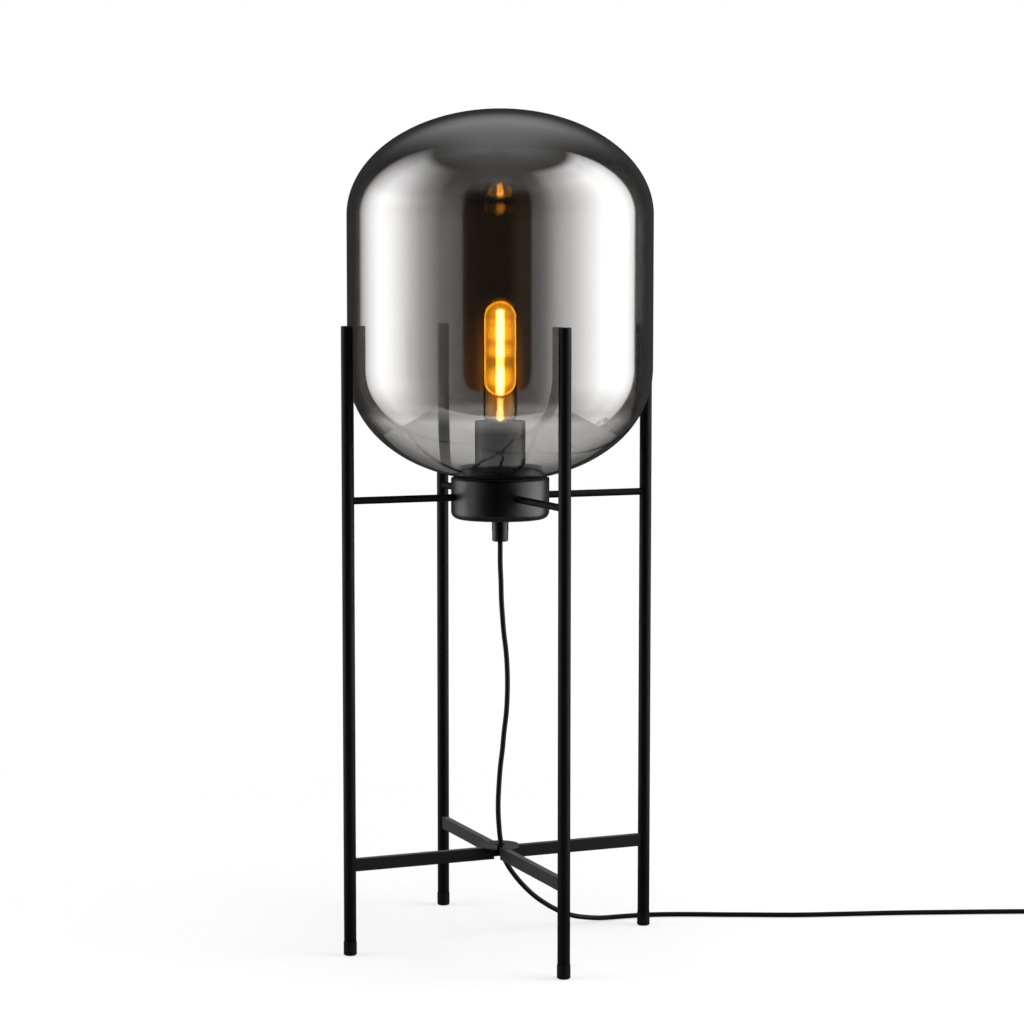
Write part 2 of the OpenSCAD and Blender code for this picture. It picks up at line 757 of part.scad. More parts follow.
module at_filament() {
    for (k = [0:3]) rotate([0, 0, 90 * k + 45]) children();
}

module bulb_filaments() {
    at_filament() color("#ffd27a") translate([filament_r, 0, filament_z])
        cylinder(d = filament_d, h = filament_l);
}

// Middle rod and the two flat spiders that hold the filaments' ends
module filament_wires() {
    z = bulb_rim_z - bulb_neck_in + stem_l;
    top = filament_z + filament_l;
    reach = 2 * filament_r + filament_d;
    color("#a9a39a") union() {
        translate([0, 0, z]) cylinder(d = middle_rod_d, h = top + anchor_h - z);
        for (y = [filament_z - spider_w / 2, top + spider_w / 2], a = [45, 135])
            translate([0, 0, y]) rotate([0, 0, a]) cube([reach, spider_w, spider_w], center = true);
    }
}

module cord() {
    color("#0d0d0d") tube(cord_path, cord_d, cord_sides);
}

module cord_link() {
    color("#0d0d0d") tube(smooth_path(link_path, 2), cord_d, cord_sides);
}

module cord_tail() {
    color("#0d0d0d") tube(smooth_path(tail_path, 2), cord_d, cord_sides);
}

module cord_coil() {
    color("#0d0d0d") tube(coil_path, cord_d, coil_sides);
}

// Rectangle with round corners, about its middle
module rounded_plan(l, w, r) {
    square([l - 2 * r, w], center = true);
    square([l, w - 2 * r], center = true);
    for (x = [-1, 1], y = [-1, 1]) translate([x * (l / 2 - r), y * (w / 2 - r)]) circle(r);
}

module at_switch() {
    translate(switch_at) children();
}

module at_switch_screw() {
    for (s = [-1, 1])
        translate([s * switch_l * switch_screw_x_share, s * switch_w * switch_screw_y_share, 0]) children();
}

// Hollow half of the switch: a wall with a floor at its lower end
module half_shell() {
    inner = 2 * switch_wall;
    difference() {
        linear_extrude(switch_half_z) rounded_plan(switch_l, switch_w, switch_corner_r);
        translate([0, 0, switch_wall]) linear_extrude(switch_half_z)
            rounded_plan(switch_l - inner, switch_w - inner, switch_corner_r - switch_wall);
    }
    at_switch_screw() cylinder(d = switch_boss_d, h = switch_half_z);
}

// Holes for the boots' necks in the switch's end walls
module boot_holes() {
    translate([-switch_l / 2 - over, 0, switch_half_z]) rotate([0, 90, 0])
        cylinder(d = boot_neck_d + 2 * boot_neck_gap, h = switch_wall + 2 * over);
    translate([switch_l / 2 - switch_wall - over, 0, switch_half_z]) rotate([0, 90, 0])
        cylinder(d = boot_neck_d + 2 * boot_neck_gap, h = switch_wall + 2 * over);
}

module switch_base() {
    color("#121212") at_switch() difference() {
        half_shell();
        boot_holes();
        at_switch_screw() translate([0, 0, -over])
            cylinder(d = switch_screw_d + 2 * switch_screw_gap, h = switch_half_z + 2 * over);
        at_switch_screw() translate([0, 0, -over])
            cylinder(d = switch_screw_head_d + 2 * switch_screw_gap, h = switch_screw_head_h + over);
    }
}

rocker_z = switch_h - rocker_pivot_drop;
rocker_r = rocker_l / 2 - rocker_gap;
ear_y = rocker_w / 2 + rocker_gap;

module switch_cover() {
    color("#121212") at_switch() difference() {
        union() {
            translate([0, 0, switch_h]) mirror([0, 0, 1]) half_shell();
            for (s = [-1, 1]) translate([-ear_w / 2, s > 0 ? ear_y : -ear_y - ear_t, switch_h - switch_wall - ear_h])
                cube([ear_w, ear_t, ear_h]);
        }
        boot_holes();
        translate([-rocker_l / 2, -ear_y, switch_half_z])
            cube([rocker_l, 2 * ear_y, switch_half_z + over]);
        translate([0, ear_y + ear_t + over, rocker_z]) rotate([90, 0, 0])
            cylinder(d = pivot_d + 2 * pivot_gap, h = 2 * (ear_y + ear_t + over));
        at_switch_screw() translate([0, 0, switch_half_z - over])
            cylinder(r = switch_screw_d / 2 + thread_gap, h = switch_half_z - switch_screw_tip + over);
    }
}

module switch_rocker() {
    end_h = rocker_pivot_drop + rocker_r * tan(rocker_tilt);
    color("#1f1f1f") at_switch() translate([0, 0, rocker_z]) rotate([0, rocker_tilt, 0]) union() {
        intersection() {
            rotate([90, 0, 0]) linear_extrude(rocker_w, center = true) polygon([
                [-rocker_r, -rocker_below], [rocker_r, -rocker_below], [rocker_r, end_h],
                [0, rocker_pivot_drop], [-rocker_r, end_h]]);
            rotate([90, 0, 0]) cylinder(r = rocker_r, h = rocker_w + 2 * over, center = true);
        }
        rotate([90, 0, 0]) cylinder(d = pivot_d, h = rocker_w + 2 * (rocker_gap + pivot_l), center = true);
    }
}

module switch_terminals() {
    for (x = [-1, 1], y = [-1, 1]) color("#c9a24a") at_switch()
        translate([x * switch_l * switch_terminal_x_share - switch_terminal_l / 2,
                   y * switch_w * switch_terminal_y_share - switch_terminal_w / 2, switch_wall])
            cube([switch_terminal_l, switch_terminal_w, switch_terminal_h]);
}

module switch_screws() {
    color("silver") at_switch() at_switch_screw() union() {
        cylinder(d = switch_screw_head_d, h = switch_screw_head_h);
        cylinder(d = switch_screw_d, h = switch_h - switch_screw_tip);
    }
}

// Tapered boot about X, with its neck through the switch's wall
module boot() {
    bore = cord_d / 2 + cord_gap;
    neck_end = -switch_wall;
    rotate([0, 90, 0]) rotate_extrude() polygon([
        [bore, boot_l], [boot_tip_d / 2, boot_l], [boot_d / 2, 0], [boot_neck_d / 2, 0],
        [boot_neck_d / 2, neck_end], [boot_flange_d / 2, neck_end],
        [boot_flange_d / 2, neck_end - boot_flange_t], [bore, neck_end - boot_flange_t]]);
}

module switch_boots() {
    for (turn = [0, 180]) color("#0d0d0d") at_switch() rotate([0, 0, turn])
        translate([switch_l / 2, 0, switch_half_z]) boot();
}

// Plug's outline from above: narrow at the boot, full width at the pins
module plug_plan() {
    w = plug_w / 2;
    rear = plug_rear_w / 2;
    taper = plug_l * plug_taper_share;
    steps = 2 * edge_steps;
    side = [for (k = [0:steps]) let (t = k / steps) [rear + (w - rear) * ease(t), taper * t]];
    front = arc(w - plug_corner_r, plug_l - plug_corner_r, plug_corner_r, 0, 90, edge_steps);
    half = concat(side, front);
    polygon(concat(half, reversed([for (p = half) [-p.x, p.y]])));
}

// Plug's outline from the side: thinner at the boot
module plug_side() {
    h = plug_half_z;
    rear = plug_rear_h / 2;
    taper = plug_l * plug_taper_share;
    polygon([[0, -rear], [taper, -h], [plug_l, -h], [plug_l, h], [taper, h], [0, rear]]);
}

module at_plug() {
    translate([plug_at.x, plug_at.y, plug_half_z]) children();
}

module plug_body() {
    color("#111111") at_plug() difference() {
        union() {
            translate([0, plug_boot_l, 0]) intersection() {
                translate([0, 0, -plug_half_z]) linear_extrude(plug_h) plug_plan();
                translate([-plug_w / 2, 0, 0]) rotate([90, 0, 90]) linear_extrude(plug_w) plug_side();
            }
            rotate([-90, 0, 0]) rotate_extrude()
                polygon([[0, 0], [boot_tip_d / 2, 0], [boot_d / 2, plug_boot_l], [0, plug_boot_l]]);
        }
        translate([0, -over, 0]) rotate([-90, 0, 0])
            cylinder(r = cord_d / 2 + cord_gap, h = plug_boot_l + over);
        for (s = [-1, 1]) translate([s * pin_pitch / 2, plug_boot_l + plug_l - pin_pocket, 0])
            rotate([-90, 0, 0]) cylinder(r = pin_neck_d / 2 + pin_pocket_gap, h = pin_pocket + over);
    }
}

// Each pin has a narrower neck, which the plug's moulding grips
module plug_pins() {
    r = pin_d / 2;
    tip = r / 2;
    neck = pin_neck_d / 2;
    neck_end = pin_pocket + pin_neck_out;
    for (s = [-1, 1]) color("#c9c6bf") at_plug()
        translate([s * pin_pitch / 2, plug_boot_l + plug_l - pin_pocket, 0]) rotate([-90, 0, 0])
            rotate_extrude() polygon(concat(
                [[0, 0], [neck, 0], [neck, neck_end], [r, neck_end]],
                arc(r - tip, pin_pocket + pin_l - tip, tip, 0, 90, edge_steps),
                [[0, pin_pocket + pin_l]]));
}

leg(0);  // leg_right
leg(1);  // leg_back
leg(2);  // leg_left
leg(3);  // leg_front
foot(0);  // foot_right
foot(1);  // foot_back
foot(2);  // foot_left
foot(3);  // foot_front
leg_caps();
arm(0);  // arm_right
arm(1);  // arm_back
arm(2);  // arm_left
arm(3);  // arm_front
arm_washers();
arm_nuts();
brace(0);  // brace_right
brace(1);  // brace_back
brace(2);  // brace_left
brace(3);  // brace_front
cord_disc();
collar_cup();
seat_plate();
glass_gasket();
nipple();
nipple_nut();
cord_grip_body();
cord_grip_nut();
lead_in();
socket_cover();
holder_base();
holder_body();
screw_shell();
centre_contact();
holder_terminals();
core_live();
core_neutral();
glass_base();
glass_wall();
glass_dome();
bulb_glass();
bulb_cap();
bulb_insulator();
bulb_contact();
bulb_stem();
bulb_filaments();
filament_wires();
cord();
switch_base();
switch_cover();
switch_rocker();
switch_terminals();
switch_screws();
switch_boots();
cord_link();
cord_coil();
cord_tail();
plug_body();
plug_pins();
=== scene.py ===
# %% [markdown]
# # A floor lamp with a smoked glass shade
# This lesson dresses a finished CAD model of a floor lamp: four black tube legs, a shallow black
# collar on four thin arms, and a barrel of smoked glass with a glowing tubular bulb inside it. The
# CAD model is loaded as a fixed frame. Its pieces already stand in the right place, in metres, with
# Z up, so most of the work is giving each one the finish of the real thing, and making smoother
# versions of the glass and of the cord, which a CAD mesh draws with too few sides.

# %% Load the frame
import json
import math

import bmesh
import bpy
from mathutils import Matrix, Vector


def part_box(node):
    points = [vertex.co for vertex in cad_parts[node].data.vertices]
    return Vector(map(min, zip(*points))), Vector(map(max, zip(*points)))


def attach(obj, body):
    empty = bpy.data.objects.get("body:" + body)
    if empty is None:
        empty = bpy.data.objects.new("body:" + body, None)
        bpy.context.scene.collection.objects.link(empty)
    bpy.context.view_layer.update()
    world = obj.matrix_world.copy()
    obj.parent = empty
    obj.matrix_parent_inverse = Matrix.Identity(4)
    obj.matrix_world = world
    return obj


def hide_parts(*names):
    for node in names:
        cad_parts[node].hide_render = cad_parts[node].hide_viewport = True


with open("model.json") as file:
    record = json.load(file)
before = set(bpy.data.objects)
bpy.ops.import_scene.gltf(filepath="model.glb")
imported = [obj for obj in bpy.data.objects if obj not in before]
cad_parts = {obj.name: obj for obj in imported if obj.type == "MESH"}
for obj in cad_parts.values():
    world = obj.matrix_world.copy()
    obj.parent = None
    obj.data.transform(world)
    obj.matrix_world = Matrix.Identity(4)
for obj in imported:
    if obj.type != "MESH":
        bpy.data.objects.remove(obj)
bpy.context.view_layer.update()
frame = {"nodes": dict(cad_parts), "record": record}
nodes = frame["nodes"]
MM = 0.001

# %% [markdown]
# ## The camera
# A long lens, far away, keeps the tall legs nearly parallel, as in a product picture. The camera
# stands a little above the middle of the lamp, turned so that no leg hides another. The small
# sideways shift frames the lamp a touch left of the middle without turning the camera, so upright
# lines stay upright.

# %% Place the camera
TURN = math.radians(22.25)
DIP = 0.0876
CAMERA_AT = (-0.8767, -2.1429, 0.5945)
LENS_MM, SENSOR_MM, SIDE_SHIFT = 90.92, 36, 0.01156
NEAREST, FARTHEST = 0.05, 60
camera = bpy.data.objects.new("camera", bpy.data.cameras.new("camera"))
bpy.context.collection.objects.link(camera)
bpy.context.scene.camera = camera
look = Vector((math.sin(TURN) * math.cos(DIP), math.cos(TURN) * math.cos(DIP), -math.sin(DIP)))
camera.location = CAMERA_AT
camera.rotation_mode = "QUATERNION"
camera.rotation_quaternion = look.to_track_quat("-Z", "Y")
camera.data.lens, camera.data.sensor_width = LENS_MM, SENSOR_MM
camera.data.shift_x = SIDE_SHIFT
camera.data.clip_start, camera.data.clip_end = NEAREST, FARTHEST
print("camera", tuple(round(v, 3) for v in camera.location))

# %% [markdown]
# ## The cord's route
# A mains cord is a fixed length of something springy. It drops out of the grip under the collar,
# bows a little on its way down, goes through the hole in the disc and between the bars of the
# cross, swings to the floor in one slack curve and runs off to the right. The rest of its length is
# wound into a coil. The points are the ones that the CAD model uses, and a smooth curve is drawn
# through them.

# %% Points of the route, in millimetres
CORD_D, OFF_FLOOR = 4.6, 0.05
FLOOR_Z = CORD_D / 2 + OFF_FLOOR
air = [
    (0, 0, 364.7), (0, 0, 353), (0, 0, 341), (1, 0, 326), (1, 0, 311), (2, -1, 296), (3, -1, 281),
    (5, -2, 266), (6, -2, 251), (6, -3, 236), (6, -2, 220), (5, -2, 205), (3, -1, 190),
    (2, -1, 175), (0, 0, 160), (-1, 0, 145), (-2, 0, 130), (-2, 0, 116), (-1, 0, 103), (0, 0, 93),
    (2, 0, 83), (4, 1, 75), (9, 2, 66), (16, 4, 57), (23, 6, 49), (31, 8, 41), (40, 10, 33),
    (50, 13, 26), (61, 16, 19), (73, 19, 13), (86, 22, 8), (100, 26, 5),
]
ground = [
    (115, 28), (132, 28), (149, 26), (168, 22), (187, 15), (206, 7), (227, -3), (249, -12),
    (271, -22), (293, -31), (315, -38), (338, -45), (361, -52), (384, -59), (407, -67),
    (429, -75), (452, -83), (474, -91), (495, -99), (511, -105),
]
SWITCH = (596, -110, 7)
BOOT_L, SWITCH_L, INSIDE = 20, 60, 7.5
entry_x = SWITCH[0] - SWITCH_L / 2 - BOOT_L
exit_x = SWITCH[0] + SWITCH_L / 2 + BOOT_L
first_route = air + [(x, y, FLOOR_Z) for x, y in ground] + [
    (524, -109, 4), (534, -110, 6), (entry_x, SWITCH[1], SWITCH[2]),
    (entry_x + BOOT_L + INSIDE, SWITCH[1], SWITCH[2])]
print("route points", len(first_route))


# %% A smooth curve through points
def ease(t):
    """A gentle start and end between 0 and 1."""
    return t * t * (3 - 2 * t)


def smooth(points, steps):
    """A curve through the points, with some steps between each two."""
    points = [Vector(p) for p in points]
    last, out = len(points) - 1, []
    for i in range(last):
        a, b, c, d = (points[min(max(j, 0), last)] for j in (i - 1, i, i + 1, i + 2))
        for k in range(steps):
            t = k / steps
            out.append((2 * b + (c - a) * t + (2 * a - 5 * b + 4 * c - d) * t * t
                        + (3 * b - a - 3 * c + d) * t ** 3) / 2)
    return out + [points[last]]


def relax(points, rounds, low, held=4):
    """Evens out small kinks between the two held ends, and keeps the curve off the floor."""
    points = [p.copy() for p in points]
    for _ in range(rounds):
        for i in range(held, len(points) - held):
            points[i] = points[i] / 2 + (points[i - 1] + points[i + 1]) / 4
            points[i].z = max(points[i].z, low)
    return points


def path_length(path):
    """The length of a path through its points."""
    return sum((b - a).length for a, b in zip(path, path[1:]))


STEPS, ROUNDS = 4, 6
first_path = [p * MM for p in relax(smooth(first_route, STEPS), ROUNDS, FLOOR_Z)]
print("first stretch, metres", round(path_length(first_path), 3))

# %% [markdown]
# ## The coil
# Spare cord is put away as a flat coil: it spirals in on the floor, climbs one layer in half a
# turn, and spirals out again on top of the first layer. One formula gives every point, so the turns
# can't touch.

# %% Points of the coil
TURNS, MID_R, PITCH = 5.25, 27.6, 5.1
LINK_L, TAIL_L, PLUG_BOOT, PLUG_INSIDE = 38, 18, 25, 10
PER_TURN, DROP_STEPS, RISE_STEPS, BOOT_MOUTH = 36, 6, 5, 8
OUT_R = MID_R + PITCH * TURNS / 4
coil_at = Vector((exit_x + LINK_L, SWITCH[1] + OUT_R, FLOOR_Z))


def coil_point(u):
    """A point of the coil, some turns after its outer end."""
    r = OUT_R - PITCH * (TURNS / 2 - abs(u - TURNS / 2))
    climb = min(max(2 * (u - TURNS / 2) + 0.5, 0), 1)
    a = math.radians(360 * u - 90)
    return coil_at + Vector((r * math.cos(a), r * math.sin(a), PITCH * ease(climb)))


link = [(x, SWITCH[1], SWITCH[2]) for x in (exit_x - BOOT_L - INSIDE, exit_x - BOOT_MOUTH, exit_x)]
link += [(exit_x + (LINK_L - CORD_D) * k / DROP_STEPS, SWITCH[1],
          SWITCH[2] + (FLOOR_Z - SWITCH[2]) * ease(k / DROP_STEPS))
         for k in range(1, DROP_STEPS + 1)]
coil = [coil_point(k / PER_TURN) for k in range(int(TURNS * PER_TURN) + 1)]
coil_end = coil_at + Vector((OUT_R, CORD_D, PITCH))
tail = [(coil_end.x, coil_end.y + TAIL_L * k / RISE_STEPS,
         coil_end.z + (SWITCH[2] - coil_end.z) * ease(k / RISE_STEPS))
        for k in range(RISE_STEPS + 1)]
tail += [(coil_end.x, coil_end.y + TAIL_L + PLUG_INSIDE, SWITCH[2]),
         (coil_end.x, coil_end.y + TAIL_L + PLUG_BOOT, SWITCH[2])]
second_path = [p * MM for p in smooth(link, 2) + coil + smooth(tail, 2)]
print("second stretch, metres", round(path_length(second_path), 3))


# %% Sweep a round tube along a path
def new_object(name, mesh, body):
    """A smooth object from a bmesh, in the row frame, riding on a body."""
    data = bpy.data.meshes.new(name)
    mesh.to_mesh(data)
    mesh.free()
    for face in data.polygons:
        face.use_smooth = True
    made = bpy.data.objects.new(name, data)
    bpy.context.collection.objects.link(made)
    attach(made, body)
    return made


def tube(name, path, radius, body, sides=20):
    """One closed tube, whose rings are carried along the path without twist."""
    mesh, rings = bmesh.new(), []
    start = path[1] - path[0]
    # The first ring is turned by an axis that its path doesn't follow
    side = Vector((0, 1, 0)) if abs(start.z) > 0.5 * start.length else Vector((0, 0, 1))
    for i, p in enumerate(path):
        along = (path[min(i + 1, len(path) - 1)] - path[max(i - 1, 0)]).normalized()
        side = (side - along * side.dot(along)).normalized()
        other = along.cross(side)
        rings.append([mesh.verts.new(p + radius * (math.cos(a) * side + math.sin(a) * other))
                      for a in (2 * math.pi * k / sides for k in range(sides))])
    for low, high in zip(rings, rings[1:]):
        for k in range(sides):
            mesh.faces.new((low[k], low[(k + 1) % sides], high[(k + 1) % sides], high[k]))
    mesh.faces.new(rings[0][::-1])
    mesh.faces.new(rings[-1])
    bmesh.ops.recalc_face_normals(mesh, faces=mesh.faces)
    return new_object(name, mesh, body)


flex = tube("mains_cord", first_path, CORD_D / 2 * MM, "frame")
spare = tube("stored_cord", second_path, CORD_D / 2 * MM, "frame")
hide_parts("cord")
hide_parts("cord_link", "cord_coil", "cord_tail")
print("cord faces", len(flex.data.polygons), len(spare.data.polygons))

print("cord, metres", round(path_length(first_path) + path_length(second_path), 3))

# %% [markdown]
# ## Colours and nodes
# Every finish below is written as nodes. Small helpers keep that readable. One turns a colour in
# sRGB hex, as a painter would note it, into the linear values that a renderer counts in. One adds a
# node together with its settings and its links. The rest put a plain name on the few kinds of node
# that come up most: a step of arithmetic, a range, a ramp, and a mix of colours or of shaders.

# %% Colours and nodes
def linear(code):
    """A colour written as sRGB hex, in the linear values that shaders use."""
    parts = [int(code[i:i + 2], 16) / 255 for i in (1, 3, 5)]
    return tuple(p / 12.92 if p <= 0.04045 else ((p + 0.055) / 1.055) ** 2.4 for p in parts) + (1,)


def add(tree, kind, inputs=(), **settings):
    """Adds a node. An input is a value, or an output or a node that is linked to it."""
    made = tree.nodes.new(kind)
    for name, value in settings.items():
        setattr(made, name, value)
    for name, value in dict(inputs).items():
        if isinstance(value, bpy.types.Node):
            value = value.outputs[0]
        if isinstance(value, bpy.types.NodeSocket):
            tree.links.new(value, made.inputs[name])
        else:
            made.inputs[name].default_value = value
    return made


def calc(tree, operation, *values):
    """One step of arithmetic between numbers or outputs."""
    return add(tree, "ShaderNodeMath", enumerate(values), operation=operation).outputs[0]


def fit(tree, value, start, end, low=0.0, high=1.0, eased=False):
    """Turns the range from start to end into the one from low to high, and holds it there."""
    return add(tree, "ShaderNodeMapRange", {
        "Value": value, "From Min": start, "From Max": end, "To Min": low, "To Max": high},
        interpolation_type="SMOOTHSTEP" if eased else "LINEAR").outputs[0]


def blend(tree, share, first, second, way="MIX"):
    """The first colour at share 0, the second at share 1, or both joined in another way."""
    return add(tree, "ShaderNodeMix", {0: share, 6: first, 7: second}, data_type="RGBA",
               blend_type=way).outputs[2]


def either(tree, share, first, second):
    """The first shader at share 0, the second at share 1."""
    return add(tree, "ShaderNodeMixShader", {0: share, 1: first, 2: second}).outputs[0]


def dot(tree, vector, way):
    """How far a vector reaches in a direction."""
    return add(tree, "ShaderNodeVectorMath", {0: vector, 1: way},
               operation="DOT_PRODUCT").outputs["Value"]


def ramp(tree, value, stops):
    """A ramp of grey levels. Each stop is a place from 0 to 1 and a level."""
    made = add(tree, "ShaderNodeValToRGB", {"Fac": value})
    band = made.color_ramp
    while len(band.elements) < len(stops):
        band.elements.new(1)
    for element, (place, grey) in zip(band.elements, stops):
        element.position, element.color = place, (grey, grey, grey, 1)
    return made.outputs["Color"]


print("white is", linear("#ffffff"))

# %% [markdown]
# ## The studio that the glass mirrors
# A lamp like this is photographed on a sheet of white paper, between two wide soft boxes, with
# darkness in front and a dim ceiling. Polished glass shows all of that: two bright flanks, a dark
# outline, and the paper in its lower bowl. Area lamps would show as hard squares, so the boxes are
# painted into the world by heading and height. They fade there as cloth boxes do, and one number
# moves an edge.

# %% Headings, as seen from the lamp
bpy.context.scene.world = bpy.data.worlds.new("studio")
studio = bpy.context.scene.world
studio.use_nodes = True
tree = studio.node_tree
tree.nodes.clear()
right = Vector((math.cos(TURN), -math.sin(TURN), 0))
near = Vector((-math.sin(TURN), -math.cos(TURN), 0))
heading = add(tree, "ShaderNodeTexCoord").outputs["Generated"]
across = dot(tree, heading, right)
toward = dot(tree, heading, near)
sideways = calc(tree, "ABSOLUTE", across)
level = add(tree, "ShaderNodeSeparateXYZ", {0: heading}).outputs["Z"]
height = fit(tree, level, -1.0, 1.0)
angle = calc(tree, "ARCTAN2", across, toward)
around = fit(tree, angle, -math.pi, math.pi)
print("to the right", tuple(round(v, 3) for v in right), "to the camera",
      tuple(round(v, 3) for v in near))

# %% Soft boxes at both sides
# Pairs of degrees and brightness. Round the lamp, degrees run from behind, past the left and past
# the camera at 0, to the right. Up, they run from the horizon, and the left box fades out earlier
round_stops = [
    (-180, 0.008), (-130, 0.008), (-126, 0.17), (-112, 0.52), (-100, 0.78), (-89, 0.72),
    (-79, 0.55), (-70, 0.36), (-61, 0.2), (-53, 0.115), (-45, 0.035), (-37, 0.02), (-31, 0.01),
    (-26, 0.006), (-25, 0.0), (22, 0.0), (23, 0.01), (29, 0.025), (33, 0.05), (36, 0.1),
    (44, 0.24), (55, 0.39), (64, 0.55), (85, 0.9), (105, 0.8), (118, 0.45), (121, 0.008),
    (180, 0.008)]
up_right = [(-45, 0.2), (-30, 0.6), (-14, 0.95), (0, 1), (40, 1), (54, 0.6), (60, 0.02)]
up_left = [
    (-45, 0.2), (-30, 0.6), (-14, 0.95), (0, 1), (6, 1), (12, 1.08), (18, 1.05), (24, 0.9),
    (32, 0.78), (40, 0.67), (48, 0.48), (54, 0.33), (60, 0.02)]


def up(degrees):
    """The place of an angle above the horizon on a height ramp."""
    return 0.5 + 0.5 * math.sin(math.radians(degrees))


boxes = ramp(tree, around, [((a + 180) / 360, grey) for a, grey in round_stops])
reach_left = ramp(tree, height, [(up(a), grey) for a, grey in up_left])
reach_right = ramp(tree, height, [(up(a), grey) for a, grey in up_right])
reach = blend(tree, calc(tree, "GREATER_THAN", across, 0.0), reach_left, reach_right)
boxes = add(tree, "ShaderNodeVectorMath", {0: boxes, 1: reach}, operation="MULTIPLY").outputs[0]
print("box stops", len(round_stops), "height stops", len(up_left), len(up_right))

# %% Dim ceiling
# It is brightest over the middle, and dimmer to its sides and to the front. Each range below is
# written as where it starts and ends, and what it gives there
CEILING_ACROSS = (0.06, 0.62, 1.0, 0.03)
CEILING_FRONT = (-0.2, 0.5, 1.0, 0.35)
ceiling_stops = [
    (16, 0.0), (25, 0.015), (34, 0.065), (45, 0.095), (60, 0.095), (75, 0.09), (90, 0.088)]
ceiling = ramp(tree, height, [(up(a), grey) for a, grey in ceiling_stops])
middle = fit(tree, sideways, *CEILING_ACROSS, eased=True)
front = fit(tree, toward, *CEILING_FRONT, eased=True)
spread = calc(tree, "MULTIPLY", middle, front)
ceiling = add(tree, "ShaderNodeVectorMath", {0: ceiling, "Scale": spread},
              operation="SCALE").outputs[0]
print("ceiling stops", len(ceiling_stops))

# %% [markdown]
# ## The screen behind the shade
# Through the glass a dark stripe stands behind the lit bulb, and makes it glow. It is painted
# shade:
# a narrow dark screen painted into the world behind the lamp, which only exists for light that came
# through glass, so the backdrop round the lamp stays white. It is painted warm where the bulb would
# light it, which is painted light. A rounded box in two directions draws it, as a sum of high
# powers.

# %% Screen behind
SCREEN_X, SCREEN_WIDE, SCREEN_Z, SCREEN_HIGH = -0.0015, 0.0171, 0.0012, 0.0505
SIDE_POWER, TOP_POWER, SCREEN_EDGE = 4.0, 10.0, (0.8, 1.15)
aside = calc(tree, "MULTIPLY_ADD", across, 1 / SCREEN_WIDE, -SCREEN_X / SCREEN_WIDE)
aside = calc(tree, "POWER", aside, SIDE_POWER)
above = calc(tree, "MULTIPLY_ADD", level, 1 / SCREEN_HIGH, -SCREEN_Z / SCREEN_HIGH)
above = calc(tree, "POWER", above, TOP_POWER)
outside = fit(tree, calc(tree, "ADD", aside, above), *SCREEN_EDGE, eased=True)
outside = calc(tree, "MAXIMUM", outside, calc(tree, "GREATER_THAN", toward, 0.0))
print("screen, as sines of angles", SCREEN_WIDE, SCREEN_HIGH)

# %% Cloth of the screen
# Painted light: it is painted warmer towards its foot, most of all close beside the bulb, and it
# has a paler painted streak on its right
PAINTED_LIGHT_BELOW, PAINTED_PALE_STREAK, BESIDE_BULB = (-0.004, -0.036), (0.003, 0.011), (0.0135, 0.006)
PAINTED_BULB_GLOW = (2.2, 0.85, 0.14, 1)
painted_light_below = fit(tree, level, *PAINTED_LIGHT_BELOW, eased=True)
painted_streak = fit(tree, across, *PAINTED_PALE_STREAK, eased=True)
painted_bulb_glow_share = calc(tree, "MULTIPLY", fit(tree, sideways, *BESIDE_BULB, eased=True), painted_light_below)
cloth = blend(tree, painted_light_below, linear("#6f6355"), linear("#c88a5b"))
cloth = blend(tree, painted_streak, cloth, linear("#a08f7b"))
cloth = blend(tree, painted_bulb_glow_share, cloth, PAINTED_BULB_GLOW)
behind = blend(tree, outside, cloth, linear("#ffffff"))
print("glow of the bulb on the cloth", PAINTED_BULB_GLOW[:3])

# %% [markdown]
# ## Who sees which light
# The camera sees plain white, as the paper behind the lamp is. Light that came straight through
# glass sees the same white with the screen in it. Mirrors see the boxes. Light that turned back
# inside a glass wall also counts as passed through, so the world looks at the mirror count first.
# Plain faces get an even soft light, strong enough that a colour renders about as it is written.

# %% World output
BOX_STRENGTH, FILL_STRENGTH = 5.5, 0.55
room = add(tree, "ShaderNodeVectorMath", {0: boxes, 1: ceiling}, operation="ADD").outputs[0]
mirrored = add(tree, "ShaderNodeBackground", {"Color": room, "Strength": BOX_STRENGTH})
through = add(tree, "ShaderNodeBackground", {"Color": behind, "Strength": 1.0})
fill = add(tree, "ShaderNodeBackground", {"Color": linear("#ffffff"), "Strength": FILL_STRENGTH})
white = add(tree, "ShaderNodeBackground", {"Color": linear("#ffffff"), "Strength": 1.0})
path = add(tree, "ShaderNodeLightPath")
bounced = calc(tree, "MINIMUM", path.outputs["Glossy Depth"], 1.0)
mixed = either(tree, path.outputs["Is Transmission Ray"], mirrored, through)
mixed = either(tree, bounced, mixed, mirrored)
mixed = either(tree, path.outputs["Is Diffuse Ray"], mixed, fill)
mixed = either(tree, path.outputs["Is Camera Ray"], mixed, white)
add(tree, "ShaderNodeOutputWorld", {"Surface": mixed})
bpy.context.scene.view_settings.view_transform = "Standard"
print("world nodes", len(tree.nodes))

# %% [markdown]
# ## The paper on the floor
# The lamp stands on white paper. The camera sees it as white with the lamp's faint shadows: a part
# of its brightness is its own, the rest comes from the lamps, and far out it fades into the white
# behind. Mirrors see a sheet that ends in front and at both sides, and dark beyond it. Its light
# there is painted: brighter towards its front edge, and dimmer near the lamp's foot where shade
# would fall. That edge is the curved line across the shade's lower bowl.


# %% Floor
def new_material(name):
    """A material without nodes, and its node tree."""
    made = bpy.data.materials.new(name)
    made.use_nodes = True
    made.node_tree.nodes.clear()
    return made, made.node_tree


